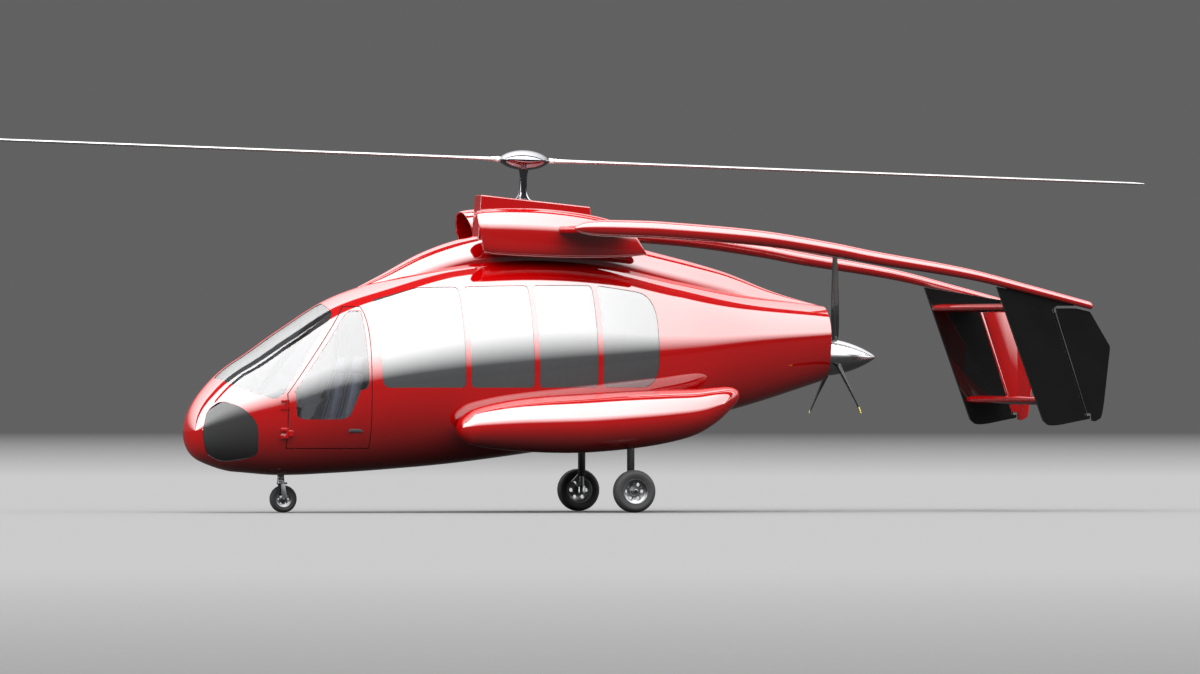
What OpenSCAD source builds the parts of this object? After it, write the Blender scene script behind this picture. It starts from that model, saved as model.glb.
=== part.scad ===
// Twin-boom electric rotorcraft with a two-blade main rotor and a tail propeller.
// Millimetres. +Z up, nose toward -X, left side toward -Y, origin on the ground below the rotor hub.

/* [Body] */
// Thickness of the body shell
skin = 45; // [35:1:50]
// Roundness of the body section above the waist line
upper_power = 1.85; // [1.8:0.05:2]
// Roundness of the body section below the waist line
lower_power = 2.3; // [2.2:0.05:2.4]
// Thickness of the window panes
pane = 14; // [10:1:18]
// Depth of the panes' outer face below the skin
pane_inset = 6; // [4:1:8]

/* [Main rotor] */
// Diameter of the rotor disc
rotor_d = 15200; // [14800:100:15600]
// Chord of a rotor blade
blade_chord = 360; // [320:10:400]
// Thickness of a rotor blade
blade_t = 42; // [36:1:48]
// Height of the hub's centre
hub_z = 4140; // [4130:5:4170]
// Backward tilt of the rotor disc
rotor_tilt = 2; // [1:0.5:3]
// Diameter of the mast
mast_d = 86; // [80:2:92]

/* [Tail] */
// Distance of each boom from the middle plane
boom_y = 1580; // [1550:10:1620]
// Thickness of the fins
fin_t = 60; // [54:2:64]
// Diameter of the tail propeller
propeller_d = 2640; // [2500:20:2680]
// Diameter of the tail propeller's shaft
propeller_shaft_d = 90; // [80:2:100]

/* [Landing gear] */
// Diameter of a main tyre
main_tyre_d = 500; // [480:5:510]
// Width of a main tyre
main_tyre_w = 165; // [150:5:170]
// Place of the main wheels along the body
main_gear_x = 1000; // [950:10:1050]
// Distance of each main wheel from the middle plane
main_wheel_y = 1270; // [1260:5:1290]
// Diameter of the nose tyre
nose_tyre_d = 320; // [310:2:324]
// Width of the nose tyre
nose_tyre_w = 110; // [100:2:112]

/* [Clearances] */
// Gap between a door and its opening
door_gap = 9; // [8:0.5:10]
// Radial clearance of a running shaft
running_gap = 0.05; // [0.03:0.01:0.08]
// Gap between a rudder and its fin
rudder_gap = 9; // [8:0.5:10]

/* [Hidden] */
$fn = 48;

// Body stations. Columns: x, bottom height, waist height, top height, half width.
STATIONS = [
    [-4117, 400, 950, 1520, 560], [-3850, 490, 1030, 1620, 575], [-3500, 477, 1120, 1790, 640],
    [-3000, 440, 1230, 2130, 780], [-2400, 460, 1390, 2500, 880], [-1700, 505, 1510, 2740, 935],
    [-900, 575, 1600, 2950, 960], [0, 690, 1690, 3030, 950], [900, 830, 1780, 2960, 890],
    [1800, 1030, 1880, 2760, 760], [2700, 1250, 1990, 2560, 570], [3645, 1545, 2070, 2424, 400]];
nose_x = STATIONS[0][0];
tail_x = STATIONS[len(STATIONS) - 1][0];
// The nose rounds off over this length around the height of its tip.
nose_round = 617;
nose_tip_z = 950;
// Crew door. Its hinge axis is upright on the skin, and its rear edge is round about that axis.
door_hinge_x = -3060;
door_rear_r = 990;
door_rear_x = door_hinge_x + door_rear_r;
door_post = 50;
// Panel joints along the body, and the section angles of the side panels' seams.
cockpit_end = door_rear_x + door_post;
cabin_end = 1700;
sill_angle = -30;
roof_angle = 60;
// Open joint between two panels, and the angle of the section that half of it takes.
seam = 0.5;
seam_angle = 0.016;

// Smooth interpolation of column c of a table at x.
function table_slope(t, i, c) =
    i <= 0 ? (t[1][c] - t[0][c]) / (t[1][0] - t[0][0]) :
    i >= len(t) - 1 ? (t[i][c] - t[i - 1][c]) / (t[i][0] - t[i - 1][0]) :
    (t[i + 1][c] - t[i - 1][c]) / (t[i + 1][0] - t[i - 1][0]);
function row_at(t, x, i = 0) = i >= len(t) - 2 || x <= t[i + 1][0] ? i : row_at(t, x, i + 1);
function hermite(a, b, ma, mb, h, u) =
    a * (1 + 2 * u) * pow(1 - u, 2) + ma * h * u * pow(1 - u, 2)
    + b * u * u * (3 - 2 * u) + mb * h * u * u * (u - 1);
function smooth(t, x, c) =
    let (i = row_at(t, x), h = t[i + 1][0] - t[i][0], u = (x - t[i][0]) / h)
    hermite(t[i][c], t[i + 1][c], table_slope(t, i, c), table_slope(t, i + 1, c), h, u);

// Body section at x as [bottom, waist, top, half width], moved inward by inset.
function nose_factor(x) = let (s = min(1, max(0, (x - nose_x) / nose_round))) sqrt(1 - pow(1 - s, 2));
function section(x, inset = 0) =
    let (f = nose_factor(x), bottom = nose_tip_z + (smooth(STATIONS, x, 1) - nose_tip_z) * f,
         waist = nose_tip_z + (smooth(STATIONS, x, 2) - nose_tip_z) * f,
         top = nose_tip_z + (smooth(STATIONS, x, 3) - nose_tip_z) * f, half = smooth(STATIONS, x, 4) * f)
    [min(bottom + inset, waist - 1), waist, max(top - inset, waist + 1), max(half - inset, 1)];
function signed_pow(v, p) = sign(v) * pow(abs(v), p);
// Point of the section at angle a: 0 is the right waist, 90 the crest, 180 the left waist.
function skin_point(x, a, inset = 0) =
    let (s = section(x, inset), n = sin(a) >= 0 ? upper_power : lower_power,
         reach = sin(a) >= 0 ? s[2] - s[1] : s[1] - s[0])
    [x, s[3] * signed_pow(cos(a), 2 / n), s[1] + reach * signed_pow(sin(a), 2 / n)];
// Half width of the skin at height z, and height of the skin above the waist at half width y.
function skin_y(x, z, inset = 0) =
    let (s = section(x, inset), n = z >= s[1] ? upper_power : lower_power,
         u = z >= s[1] ? (z - s[1]) / (s[2] - s[1]) : (s[1] - z) / (s[1] - s[0]))
    s[3] * pow(max(0, 1 - pow(min(1, u), n)), 1 / n);
function skin_z(x, y, inset = 0) =
    let (s = section(x, inset), u = min(1, abs(y) / s[3]))
    s[1] + (s[2] - s[1]) * pow(1 - pow(u, upper_power), 1 / upper_power);

// Solid through rings of equal point count, closed by flat end caps.
// The facets' diagonals on the left side mirror those on the right side.
module loft(rings) {
    n = len(rings[0]);
    m = len(rings);
    polyhedron(points = [for (r = rings) each r],
        faces = concat([[for (k = [0 : n - 1]) k]],
            [for (i = [0 : m - 2], k = [0 : n - 1])
                let (j = (k + 1) % n, a = i * n + k, b = i * n + j, c = (i + 1) * n + j, d = (i + 1) * n + k)
                each rings[i][k][1] + rings[i][j][1] >= 0 ? [[a, d, c], [a, c, b]] : [[a, d, b], [d, c, b]]],
            [[for (k = [n - 1 : -1 : 0]) (m - 1) * n + k]]), convexity = 6);
}
// Positions of the body's rings from x0 to x1, closer together at the nose.
ring_step = 370;
function ring_places(x0, x1) =
    let (n = ceil((x1 - x0) / ring_step)) [for (i = [0 : n]) x0 + (x1 - x0) * i / n];
NOSE_SHARES = [0.004, 0.03, 0.1, 0.22, 0.4, 0.66];
// The inside of the nose starts at this share, where the shell leaves room for it.
hollow_share = 2;
cockpit_places = concat([for (s = NOSE_SHARES) nose_x + s * nose_round],
    ring_places(nose_x + nose_round, cockpit_end));
function tail_of(list, from) = [for (i = [from : len(list) - 1]) list[i]];
cockpit_hollow_places = concat(tail_of(cockpit_places, hollow_share), [cockpit_end + 1]);
body_places = concat(cockpit_places, tail_of(ring_places(cockpit_end, cabin_end), 1),
    tail_of(ring_places(cabin_end, tail_x), 1));
angle_step = 10;
function ring_points(x, inset) = [for (a = [0 : angle_step : 359]) skin_point(x, a, inset)];
module body_solid(xs, inset = 0) { loft([for (x = xs) ring_points(x, inset)]); }
// Direction from an edge of a row of n + 1 places into the row, and 0 between its ends.
function edge_side(i, n) = i == 0 ? 1 : i == n ? -1 : 0;
// Strip of shell between two section angles, from x0 to x1.
module panel(x0, x1, a0, a1, depth = skin, outer = 0) {
    n = ceil((a1 - a0) / angle_step);
    angles = [for (i = [0 : n]) a0 + (a1 - a0) * i / n + seam_angle * edge_side(i, n)];
    xs = ring_places(x0, x1);
    m = len(xs) - 1;
    loft([for (r = [0 : m]) let (x = xs[r] + seam / 2 * edge_side(r, m))
        concat([for (a = angles) skin_point(x, a, outer)],
            [for (i = [n : -1 : 0]) skin_point(x, angles[i], outer + depth)])]);
}
// Outline with its corners rounded. Each corner is [u, v, share of its edges that the rounding takes].
corner_steps = 2;
function unit(v) = v / norm(v);
function flat_point(c) = [c[0], c[1]];
function rounded(corners) =
    let (n = len(corners)) [for (i = [0 : n - 1]) each
        let (p = flat_point(corners[i]), share = corners[i][2],
             from = p + (flat_point(corners[(i + n - 1) % n]) - p) * share,
             to = p + (flat_point(corners[(i + 1) % n]) - p) * share)
        share == 0 ? [p] : [for (k = [0 : corner_steps]) let (t = k / corner_steps)
            from * pow(1 - t, 2) + p * 2 * t * (1 - t) + to * t * t]];
// Prism through the skin along a direction, over a convex outline of points in space.
// Each of its parts spans over half of the outline, so that the parts overlap.
cutter_parts = 4;
module skin_cutter(points, direction, reach) {
    n = len(points);
    axis = unit(direction);
    flat = [for (p = points) p - axis * ((p - points[0]) * axis)];
    for (w = [0 : cutter_parts - 1]) {
        first = floor(w * n / cutter_parts);
        span = [for (i = [0 : ceil(n / 2) + 1]) flat[(first + i) % n]];
        m = len(span);
        ends = concat([for (p = span) p - axis * reach], [for (p = span) p + axis * reach]);
        hull() polyhedron(points = ends,
            faces = concat([[for (i = [0 : m - 1]) i], [for (i = [m - 1 : -1 : 0]) m + i]],
                [for (i = [0 : m - 1]) [i, m + i, m + (i + 1) % m, (i + 1) % m]]));
    }
}
// Points on the left skin over an outline of [x, height].
function on_left_skin(outline) = [for (q = outline) [q[0], -skin_y(q[0], q[1]), q[1]]];
// Mirrors its children to the right side when side is 1. They are drawn on the left side.
module on_side(side) { mirror([0, side > 0 ? 1 : 0, 0]) children(); }

// Side windows of the cabin. Columns: front x, rear x, top height at the rear edge.
window_post = 70;
CABIN_PANES = [[cockpit_end + window_post, -950, 2650], [-885, -120, 2665], [-55, 665, 2665],
    [730, 1430, 2560]];
cabin_sill_z = 1465;
cabin_front_top_z = 2610;
module cabin_pane_cutter(i) {
    p = CABIN_PANES[i];
    last = i == len(CABIN_PANES) - 1;
    rear = last ? 0.3 : 0.06;
    front = i == 0 ? 0.1 : 0.06;
    front_top_z = i == 0 ? cabin_front_top_z : CABIN_PANES[i - 1][2];
    skin_cutter(on_left_skin(rounded([[p[0], cabin_sill_z, front], [p[1], cabin_sill_z, rear],
        [p[1], p[2], rear], [p[0], front_top_z, front]])),
        [0, 1, -0.35], 300);
}
module cabin_cutters() { for (i = [0 : len(CABIN_PANES) - 1]) cabin_pane_cutter(i); }

// Windshield half. Side corners are [x, height, rounding]. The other two lie on the centre strip's edge.
centre_strip = 45;
SHIELD = [[-3670, 1485, 0.4], [-3420, 1395, 0.4], [-3200, 1325, 0.3], [-3085, 1400, 0.3],
    [-2780, 1870, 0.3], [-2425, 2325, 0.15]];
shield_low_x = -3790;
shield_top_x = -2490;
function side_angle(x, z) =
    let (s = section(x)) 180 - asin(pow(min(1, (z - s[1]) / (s[2] - s[1])), upper_power / 2));
function crest_angle(x, y) = 180 - acos(pow(y / section(x)[3], upper_power / 2));
module shield_cutter() {
    outline = rounded(concat([[shield_low_x, crest_angle(shield_low_x, centre_strip), 0.12]],
        [for (c = SHIELD) [c[0], side_angle(c[0], c[1]), c[2]]],
        [[shield_top_x, crest_angle(shield_top_x, centre_strip), 0.12]]));
    skin_cutter([for (q = outline) skin_point(q[0], q[1])], [0.55, 0.5, -0.67], 420);
}
// Chin window. Corners are [x, height, rounding].
CHIN = [[-3990, 930, 0.35], [-3930, 1200, 0.35], [-3780, 1320, 0.35], [-3560, 1235, 0.35],
    [-3390, 1050, 0.35], [-3360, 660, 0.25], [-3730, 590, 0.35], [-3930, 690, 0.35]];
module chin_cutter() { skin_cutter(on_left_skin(rounded(CHIN)), [0.5, 1, 0.1], 330); }

// The door's hinge axis is on the skin. Its outline runs past its round rear edge.
door_hinge_y = skin_y(door_hinge_x, section(door_hinge_x)[1]);
door_low_z = 760;
door_top_z = 2410;
door_front_x = door_hinge_x + 14;
door_past_x = door_rear_x + 170;
DOOR = [[door_front_x, door_low_z], [door_front_x, 1395], [-2745, 1805], [-2360, 2320], [-2290, door_top_z],
    [door_past_x, door_top_z], [door_past_x, door_low_z]];
// The door's pane is an upper and a lower outline that overlap. Corners are [x, height, rounding].
pane_rear_x = door_rear_x - 38;
DOOR_PANE_UPPER = [[-2980, 1410, 0], [pane_rear_x, 1445, 0.1], [pane_rear_x - 4, 2370, 0.08],
    [-2275, 2365, 0.3], [-2660, 1850, 0.15]];
DOOR_PANE_LOWER = [[-2962, 1450, 0], [-2955, 1095, 0.22], [pane_rear_x - 237, 1095, 0.2],
    [pane_rear_x - 82, 1480, 0]];
// Grown outline of the door: the front edges move forward, the others outward.
function door_outline(g) = [for (p = DOOR)
    [p[0] - (p[0] < door_past_x ? (p[1] > 1300 ? 1.25 * g : g) : 0),
     p[1] + (p[1] == door_top_z ? g : p[1] == door_low_z ? -g : 0)]];
module door_prism(grow) {
    intersection() {
        translate([0, 200, 0]) rotate([90, 0, 0]) linear_extrude(1400) polygon(door_outline(grow));
        translate([door_hinge_x, -door_hinge_y, 0]) cylinder(h = 3000, r = door_rear_r + grow, $fn = 72);
        translate([-4000, -1500, 0]) cube([3000, 1500 - 120, 3000]);
    }
}
module door_pane_cutter() {
    for (outline = [DOOR_PANE_UPPER, DOOR_PANE_LOWER])
        skin_cutter(on_left_skin(rounded(outline)), [0, 1, 0], 400);
}
// Door hinges. Each has a middle knuckle on the door between two lugs on the frame.
HINGE_Z = [930, 1265];
hinge_r = 16;
hinge_pin_r = 8;
knuckle_h = 56;
lug_h = 24;
lug_gap = 2;
arm_reach = 72;
arm_depth = 48;
module at_hinges() { for (z = HINGE_Z) translate([door_hinge_x, -door_hinge_y, z]) children(); }
module hinge_hollow() {
    at_hinges() cylinder(h = knuckle_h + 2 * (lug_h + lug_gap) + 8, r = hinge_r + 7, center = true, $fn = 20);
}
module frame_arms() {
    for (s = [-1, 1]) translate([-arm_reach, -4, s * (knuckle_h / 2 + lug_gap + lug_h / 2) - lug_h / 2])
        cube([arm_reach, arm_depth, lug_h]);
}
// The door's arm is thin beside the barrel, so that it clears the frame as it turns.
arm_neck = 20;
module door_arm() {
    translate([0, -4, -knuckle_h / 2]) cube([arm_reach, arm_neck, knuckle_h]);
    translate([arm_neck, -4, -knuckle_h / 2]) cube([arm_reach - arm_neck, arm_depth, knuckle_h]);
}

// Sponson rings. Columns: share of the length, share of the full section.
SPONSON = [[0, 0.02], [0.05, 0.2], [0.12, 0.42], [0.24, 0.71], [0.38, 0.94], [0.54, 1], [0.7, 0.93],
    [0.84, 0.72], [0.94, 0.42], [0.985, 0.2], [1, 0.04]];
sponson_front = [-1050, 880];
sponson_rear = [2360, 1400];
sponson_y = 1060;
sponson_half_w = 440;
sponson_half_h = 380;
sponson_sides = 14;
function sponson_place(s) = sponson_front + (sponson_rear - sponson_front) * s;
module sponson_ring(row) {
    c = sponson_place(row[0]);
    translate([c[0], -sponson_y, c[1]]) rotate([0, 90, 0])
        scale([row[1] * sponson_half_h, row[1] * sponson_half_w, 1])
            cylinder(h = 1, r = 1, $fn = sponson_sides);
}
module sponson_solid() {
    for (i = [0 : len(SPONSON) - 2]) hull() {
        sponson_ring(SPONSON[i]);
        sponson_ring(SPONSON[i + 1]);
    }
}

// Spine crest. Columns: x, crest height, half width.
SPINE = [[-2150, 2580, 60], [-1750, 2785, 170], [-1270, 3040, 230], [-800, 3205, 260], [-300, 3290, 270],
    [300, 3300, 270], [900, 3230, 260], [1570, 3060, 230], [2020, 2945, 200], [2420, 2830, 160],
    [2920, 2610, 60]];
spine_depth = 620;
module spine_ring(x) {
    crest = smooth(SPINE, x, 1);
    half = smooth(SPINE, x, 2);
    translate([x, 0, crest - spine_depth / 2]) rotate([0, 90, 0])
        scale([spine_depth / 2, half, 1]) cylinder(h = 1, r = 1, $fn = 20);
}
spine_rings = 11;
module spine_solid() {
    length = SPINE[len(SPINE) - 1][0] - SPINE[0][0];
    xs = [for (i = [0 : spine_rings]) SPINE[0][0] + length * i / spine_rings];
    for (i = [0 : spine_rings - 1]) hull() {
        spine_ring(xs[i]);
        spine_ring(xs[i + 1]);
    }
}

// Air nacelle beside the pylon. Columns: share of the length, half width, half height.
NACELLE = [[0, 185, 245], [0.06, 205, 268], [0.24, 225, 287], [0.5, 227, 288], [0.8, 203, 247],
    [1, 165, 180]];
nacelle_x0 = -690;
nacelle_x1 = 1360;
nacelle_y = 385;
nacelle_z = 3290;
nacelle_wall = 26;
nacelle_sides = 16;
// The rear face leans and the axis drops toward the rear.
nacelle_drop = 90;
module nacelle_ring(row, inset) {
    x = nacelle_x0 + (nacelle_x1 - nacelle_x0) * row[0];
    translate([x, -nacelle_y, nacelle_z - nacelle_drop * pow(row[0], 2)]) rotate([0, 90, 0])
        scale([row[2] - inset, row[1] - inset, 1]) cylinder(h = 1, r = 1, $fn = nacelle_sides);
}
module nacelle_solid(inset) {
    for (i = [0 : len(NACELLE) - 2]) hull() {
        nacelle_ring(NACELLE[i], inset);
        nacelle_ring(NACELLE[i + 1], inset);
    }
}

// Boom centre line. Columns: x, height, radius.
BOOM = [[200, 3330, 12], [290, 3332, 62], [480, 3332, 92], [850, 3325, 100], [1257, 3310, 100],
    [2450, 3215, 92], [3352, 3080, 82], [3800, 2995, 78], [4972, 2800, 64], [5740, 2615, 54],
    [6510, 2420, 44]];
boom_places = [200, 225, 290, 420, 700, 1200, 1900, 2600, 3350, 4200, 5100, 5900, 6470, 6510];
boom_sides = 12;
module boom_solid() {
    loft([for (x = boom_places)
        let (z = smooth(BOOM, x, 1), tip = x > 6490 ? 0.5 : 1, r = tip * smooth(BOOM, x, 2))
        [for (k = [0 : boom_sides - 1]) let (a = -360 * k / boom_sides)
            [x, -boom_y + r * sin(a), z + r * cos(a)]]]);
}
// Stub wing that carries the boom from the nacelle.
stub_x = [260, 1120];
stub_z = 3318;
stub_t = 110;

// Fin and rudder outlines in side view, as [x, height].
fin_y = boom_y - 30;
FIN_FRONT = [[5338, 2650], [5905, 1075], [5990, 1000]];
hinge_top = [6030, 2392];
hinge_low = [6440, 1135];
rudder_nose_r = 25;
rudder_t = 46;
rudder_pin_r = 8;
hinge_length = norm(hinge_top - hinge_low);
hinge_lean = atan2(hinge_top[0] - hinge_low[0], hinge_top[1] - hinge_low[1]);
module plate(points, t) {
    translate([0, t / 2, 0]) rotate([90, 0, 0]) linear_extrude(t) polygon(points);
}
module along_hinge(y) { translate([hinge_low[0], y, hinge_low[1]]) rotate([0, hinge_lean, 0]) children(); }
rudder_low_trim = 30;
rudder_top_trim = 40;
module fin() {
    difference() {
        union() {
            translate([0, -fin_y, 0]) plate(concat(FIN_FRONT, [[6470, 1096], [6480, 1130], [6418, 1135],
                [6008, 2392], [6075, 2425], [6280, 2425], [6280, 2500]]), fin_t);
            along_hinge(-fin_y) translate([0, 0, -45]) cylinder(h = hinge_length + 90, r = rudder_nose_r + 4);
        }
        along_hinge(-fin_y) translate([0, 0, 0]) cylinder(h = hinge_length, r = rudder_nose_r + rudder_gap);
        translate([0, -fin_y - 200, 0]) cube([8000, 400, 990]);
    }
    along_hinge(-fin_y) translate([0, 0, -6]) cylinder(h = hinge_length + 12, r = rudder_pin_r);
}
module rudder() {
    difference() {
        union() {
            translate([0, -fin_y, 0]) plate([[6432, 1180], [6636, 1160], [6650, 1172], [6724, 1925],
                [6720, 1960], [6560, 2300], [6300, 2340], [6052, 2350]], rudder_t);
            along_hinge(-fin_y) translate([0, 0, rudder_low_trim])
                cylinder(h = hinge_length - rudder_low_trim - rudder_top_trim, r = rudder_nose_r);
        }
        along_hinge(-fin_y) translate([0, 0, -50])
            cylinder(h = hinge_length + 100, r = rudder_pin_r + running_gap);
    }
}
// Stabilisers. Columns: front x, chord, height, thickness.
STABILISERS = [[5425, 500, 2400, 66], [5850, 440, 1310, 66]];

// Rotor
hub_r = 295;
hub_half_h = 120;
shank_r = 42;
grip_in = 150;
module at_hub() { translate([0, 0, hub_z]) rotate([0, rotor_tilt, 0]) children(); }
// Blade stations. Columns: share of the radius, share of the chord, share of the thickness.
BLADE = [[0.032, 0.25, 1.9], [0.06, 0.4, 1.7], [0.12, 0.95, 1.1], [0.2, 1, 1], [0.94, 1, 0.85],
    [0.985, 0.8, 0.7], [1, 0.3, 0.4]];
blade_points = 12;
function lens(chord, t) = [for (k = [0 : blade_points - 1]) let (a = 360 * k / blade_points)
    [chord / 2 * cos(a), t / 2 * signed_pow(sin(a), 1.2)]];

// Tail propeller. Columns: radius share, chord, thickness, pitch.
PROP = [[0.172, 70, 60, 50], [0.2, 95, 40, 45], [0.4, 130, 24, 32], [0.7, 120, 17, 23], [0.93, 90, 12, 18],
    [1, 30, 6, 17]];
propeller_x = 3800;
propeller_z = 1820;
spinner_r = 218;
spinner_x0 = 3672;
spinner_x1 = 4300;

// Gear
nose_gear_x = -2950;
caster = 28;
nose_axle_r = 15;
tow_bore_r = 9;
steer_pin_r = 20;
nose_leg_r = 42;
crown_z = nose_tyre_d + 12;
crown_h = 26;
nose_leg_z0 = crown_z + crown_h + 3;
nose_leg_top = 560;
main_axle_r = 24;
main_leg_r = 44;
main_leg_y = main_wheel_y - main_tyre_w / 2 - 72;
main_leg_top = 900;

// Cabin
cockpit_floor_z = 720;
cabin_floor_z = 1010;
floor_t = 40;
cabin_floor_end = 1240;
cockpit_floor_x = -3330;
floor_gap = 9;
floor_step_w = 1000;
seat_w = 500;
row_seat_w = 440;
PILOT_SEATS = [[-2420, -380], [-2420, 380]];
// Passenger rows. Columns: x, seats' distances from the middle plane.
ROWS = [[-1250, [-470, 0, 470]], [-300, [-470, 0, 470]], [620, [-240, 240]]];

module cockpit_shell() {
    color("red") difference() {
        body_solid(cockpit_places);
        body_solid(cockpit_hollow_places, skin);
        for (side = [-1, 1]) on_side(side) {
            shield_cutter();
            chin_cutter();
            door_prism(door_gap);
            hinge_hollow();
            at_hinges() frame_arms();
        }
        translate([nose_gear_x, 0, 300]) cylinder(h = 300, r = nose_leg_r);
    }
}
module cabin_side() {
    difference() {
        panel(cockpit_end, cabin_end, 180 - roof_angle, 180 - sill_angle);
        cabin_cutters();
    }
}
module cabin_side_left() { color("red") cabin_side(); }
module cabin_side_right() { color("red") on_side(1) cabin_side(); }
module roof_shell() { color("red") panel(cockpit_end, cabin_end, roof_angle, 180 - roof_angle); }
// The belly has a front and a rear panel on each side, which meet at this ring of the body.
belly_joint = ring_places(cockpit_end, cabin_end)[6];
module belly_front_left() { color("red") panel(cockpit_end, belly_joint, 180 - sill_angle, 270); }
module belly_front_right() { color("red") panel(cockpit_end, belly_joint, 270, 360 + sill_angle); }
module belly_rear_left() { color("red") panel(belly_joint, cabin_end, 180 - sill_angle, 270); }
module belly_rear_right() { color("red") panel(belly_joint, cabin_end, 270, 360 + sill_angle); }
module tail_left() { color("red") panel(cabin_end, tail_x, 90, 270); }
module tail_right() { color("red") panel(cabin_end, tail_x, -90, 90); }
module spine_fairing() {
    color("red") difference() {
        spine_solid();
        body_solid(body_places, -seam);
        pylon_solid();
    }
}
module nacelle() {
    difference() {
        nacelle_solid(0);
        nacelle_solid(nacelle_wall);
        translate([nacelle_x0 - 5, -nacelle_y, nacelle_z]) rotate([0, 90, 0]) cylinder(h = 10, r = 150);
        spine_solid();
        body_solid(body_places, -seam);
        pylon_solid();
    }
}
module nacelles() { color("red") for (side = [-1, 1]) on_side(side) nacelle(); }
module stub_wing() {
    difference() {
        hull() for (y = [nacelle_y + 120, boom_y - 40], rear = [0, 1]) {
            taper = rear ? 0.5 : 1;
            x = rear ? stub_x[1] - stub_t / 4 : stub_x[0] + stub_t / 2;
            translate([x, -y, stub_z]) scale([taper, 1, taper]) sphere(d = stub_t, $fn = 14);
        }
        nacelle_solid(0);
        boom_solid();
    }
}
module stub_wings() { color("red") for (side = [-1, 1]) on_side(side) stub_wing(); }
module booms() { color("red") for (side = [-1, 1]) on_side(side) boom_solid(); }
module fins() { color("black") for (side = [-1, 1]) on_side(side) fin(); }
module stabilisers() {
    span = 2 * (fin_y - fin_t / 2);
    color("red") for (s = STABILISERS) rotate([90, 0, 0]) linear_extrude(span, center = true)
        translate([s[0], s[2]]) polygon([for (p = lens(s[1], s[3])) [p[0] + s[1] / 2, p[1]]]);
}
module sponson() {
    difference() {
        sponson_solid();
        body_solid(body_places, -seam);
        translate([main_gear_x, -main_leg_y, 0]) cylinder(h = main_leg_top, r = main_leg_r);
    }
}
module sponsons() { color("red") for (side = [-1, 1]) on_side(side) sponson(); }
pylon_x = [-560, 770];
pylon_w = 300;
pylon_foot_z = 3150;
pylon_front_z = 3730;
pylon_rear_z = 3590;
pylon_spread = 40;
module pylon_solid() {
    plate([[pylon_x[0] - pylon_spread, pylon_foot_z], [pylon_x[1] + pylon_spread, pylon_foot_z],
        [pylon_x[1], pylon_rear_z], [pylon_x[0], pylon_front_z]], pylon_w);
}
module rotor_pylon() {
    color("darkred") difference() {
        pylon_solid();
        at_hub() translate([0, 0, -900]) cylinder(h = 900, r = mast_d / 2);
    }
}
mast_flange_z = -150;
module mast() {
    color("dimgray") at_hub() {
        translate([0, 0, -800]) cylinder(h = 800 + 60, r = mast_d / 2);
        translate([0, 0, mast_flange_z - 20]) cylinder(h = 20, r = mast_d / 2 + 34);
    }
}
module cockpit_glass_layer() {
    difference() {
        body_solid(cockpit_places, pane_inset);
        body_solid(cockpit_hollow_places, pane_inset + pane);
    }
}
module windshield() {
    color("lightgray", 0.5) intersection() {
        cockpit_glass_layer();
        for (side = [-1, 1]) on_side(side) shield_cutter();
    }
}
module chin_windows() {
    color("lightgray", 0.5) intersection() {
        cockpit_glass_layer();
        for (side = [-1, 1]) on_side(side) chin_cutter();
    }
}
module cabin_windows() {
    color("lightgray", 0.5) for (side = [-1, 1]) on_side(side) intersection() {
        panel(cockpit_end, cabin_end, 180 - roof_angle, 180 - sill_angle, pane, pane_inset);
        cabin_cutters();
    }
}
// Slab of floor between two places, trimmed to the inside of the shell with a gap.
module floor_slab(x0, x1, z, gap) {
    intersection() {
        translate([x0, -1000, z - floor_t]) cube([x1 - x0, 2000, floor_t]);
        body_solid([for (x = body_places) if (x > x0 - ring_step && x < x1 + ring_step) x], skin + gap);
    }
}
module cabin_floor() {
    color("gray") {
        floor_slab(cockpit_floor_x, cockpit_end - 30, cockpit_floor_z, floor_gap);
        floor_slab(cockpit_end - 60, cabin_floor_end, cabin_floor_z, seam);
        translate([cockpit_end - 60, -floor_step_w / 2, cockpit_floor_z - floor_t])
            cube([floor_t, floor_step_w, cabin_floor_z - cockpit_floor_z + 1]);
    }
}
module instrument_panel() {
    color("dimgray") {
        hull() {
            translate([-3330, -430, 1300]) cube([40, 860, 30]);
            translate([-3080, -470, 1120]) cube([30, 940, 240]);
        }
        translate([-3200, -130, cockpit_floor_z]) cube([420, 260, 260]);
        translate([-3200, -130, cockpit_floor_z]) cube([100, 260, 480]);
    }
}
// Seat with a base, a cushion, a leaning back and a headrest, on the floor at height z.
seat_base_h = 200;
seat_cushion = [500, 130];
seat_back = [120, 640];
seat_back_lean = 12;
seat_back_sink = 30;
headrest = [90, 200];
module seat(z, w) {
    cushion_z = z + seat_base_h;
    translate([-180, -w / 2 + 60, z]) cube([380, w - 120, seat_base_h + 10]);
    translate([-260, -w / 2, cushion_z]) cube([seat_cushion[0], w, seat_cushion[1]]);
    translate([90, 0, cushion_z + seat_cushion[1] - seat_back_sink]) rotate([0, seat_back_lean, 0]) {
        translate([0, -w / 2, 0]) cube([seat_back[0], w, seat_back[1]]);
        translate([15, -w / 4, seat_back[1] - 10]) cube([headrest[0], w / 2, headrest[1]]);
    }
}
module pilot_seats() {
    color("lightsteelblue") for (p = PILOT_SEATS) translate([p[0], p[1], 0]) seat(cockpit_floor_z, seat_w);
}
module passenger_seats() {
    color("lightsteelblue") for (row = ROWS, y = row[1]) translate([row[0], y, 0])
        seat(cabin_floor_z, row_seat_w);
}
module section_plate(x, t) {
    translate([x, 0, 0]) rotate([90, 0, 90]) linear_extrude(t)
        polygon([for (p = ring_points(x + t, skin)) [p[1], p[2]]]);
}
module bulkheads() {
    color("gray") {
        section_plate(cabin_end - floor_t, floor_t);
        difference() {
            section_plate(tail_x - floor_t, floor_t);
            translate([tail_x - 100, 0, propeller_z]) rotate([0, 90, 0])
                cylinder(h = 200, r = propeller_shaft_d / 2);
        }
    }
}
battery_x = -1900;
battery_size = [1600, 860, 190];
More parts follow.
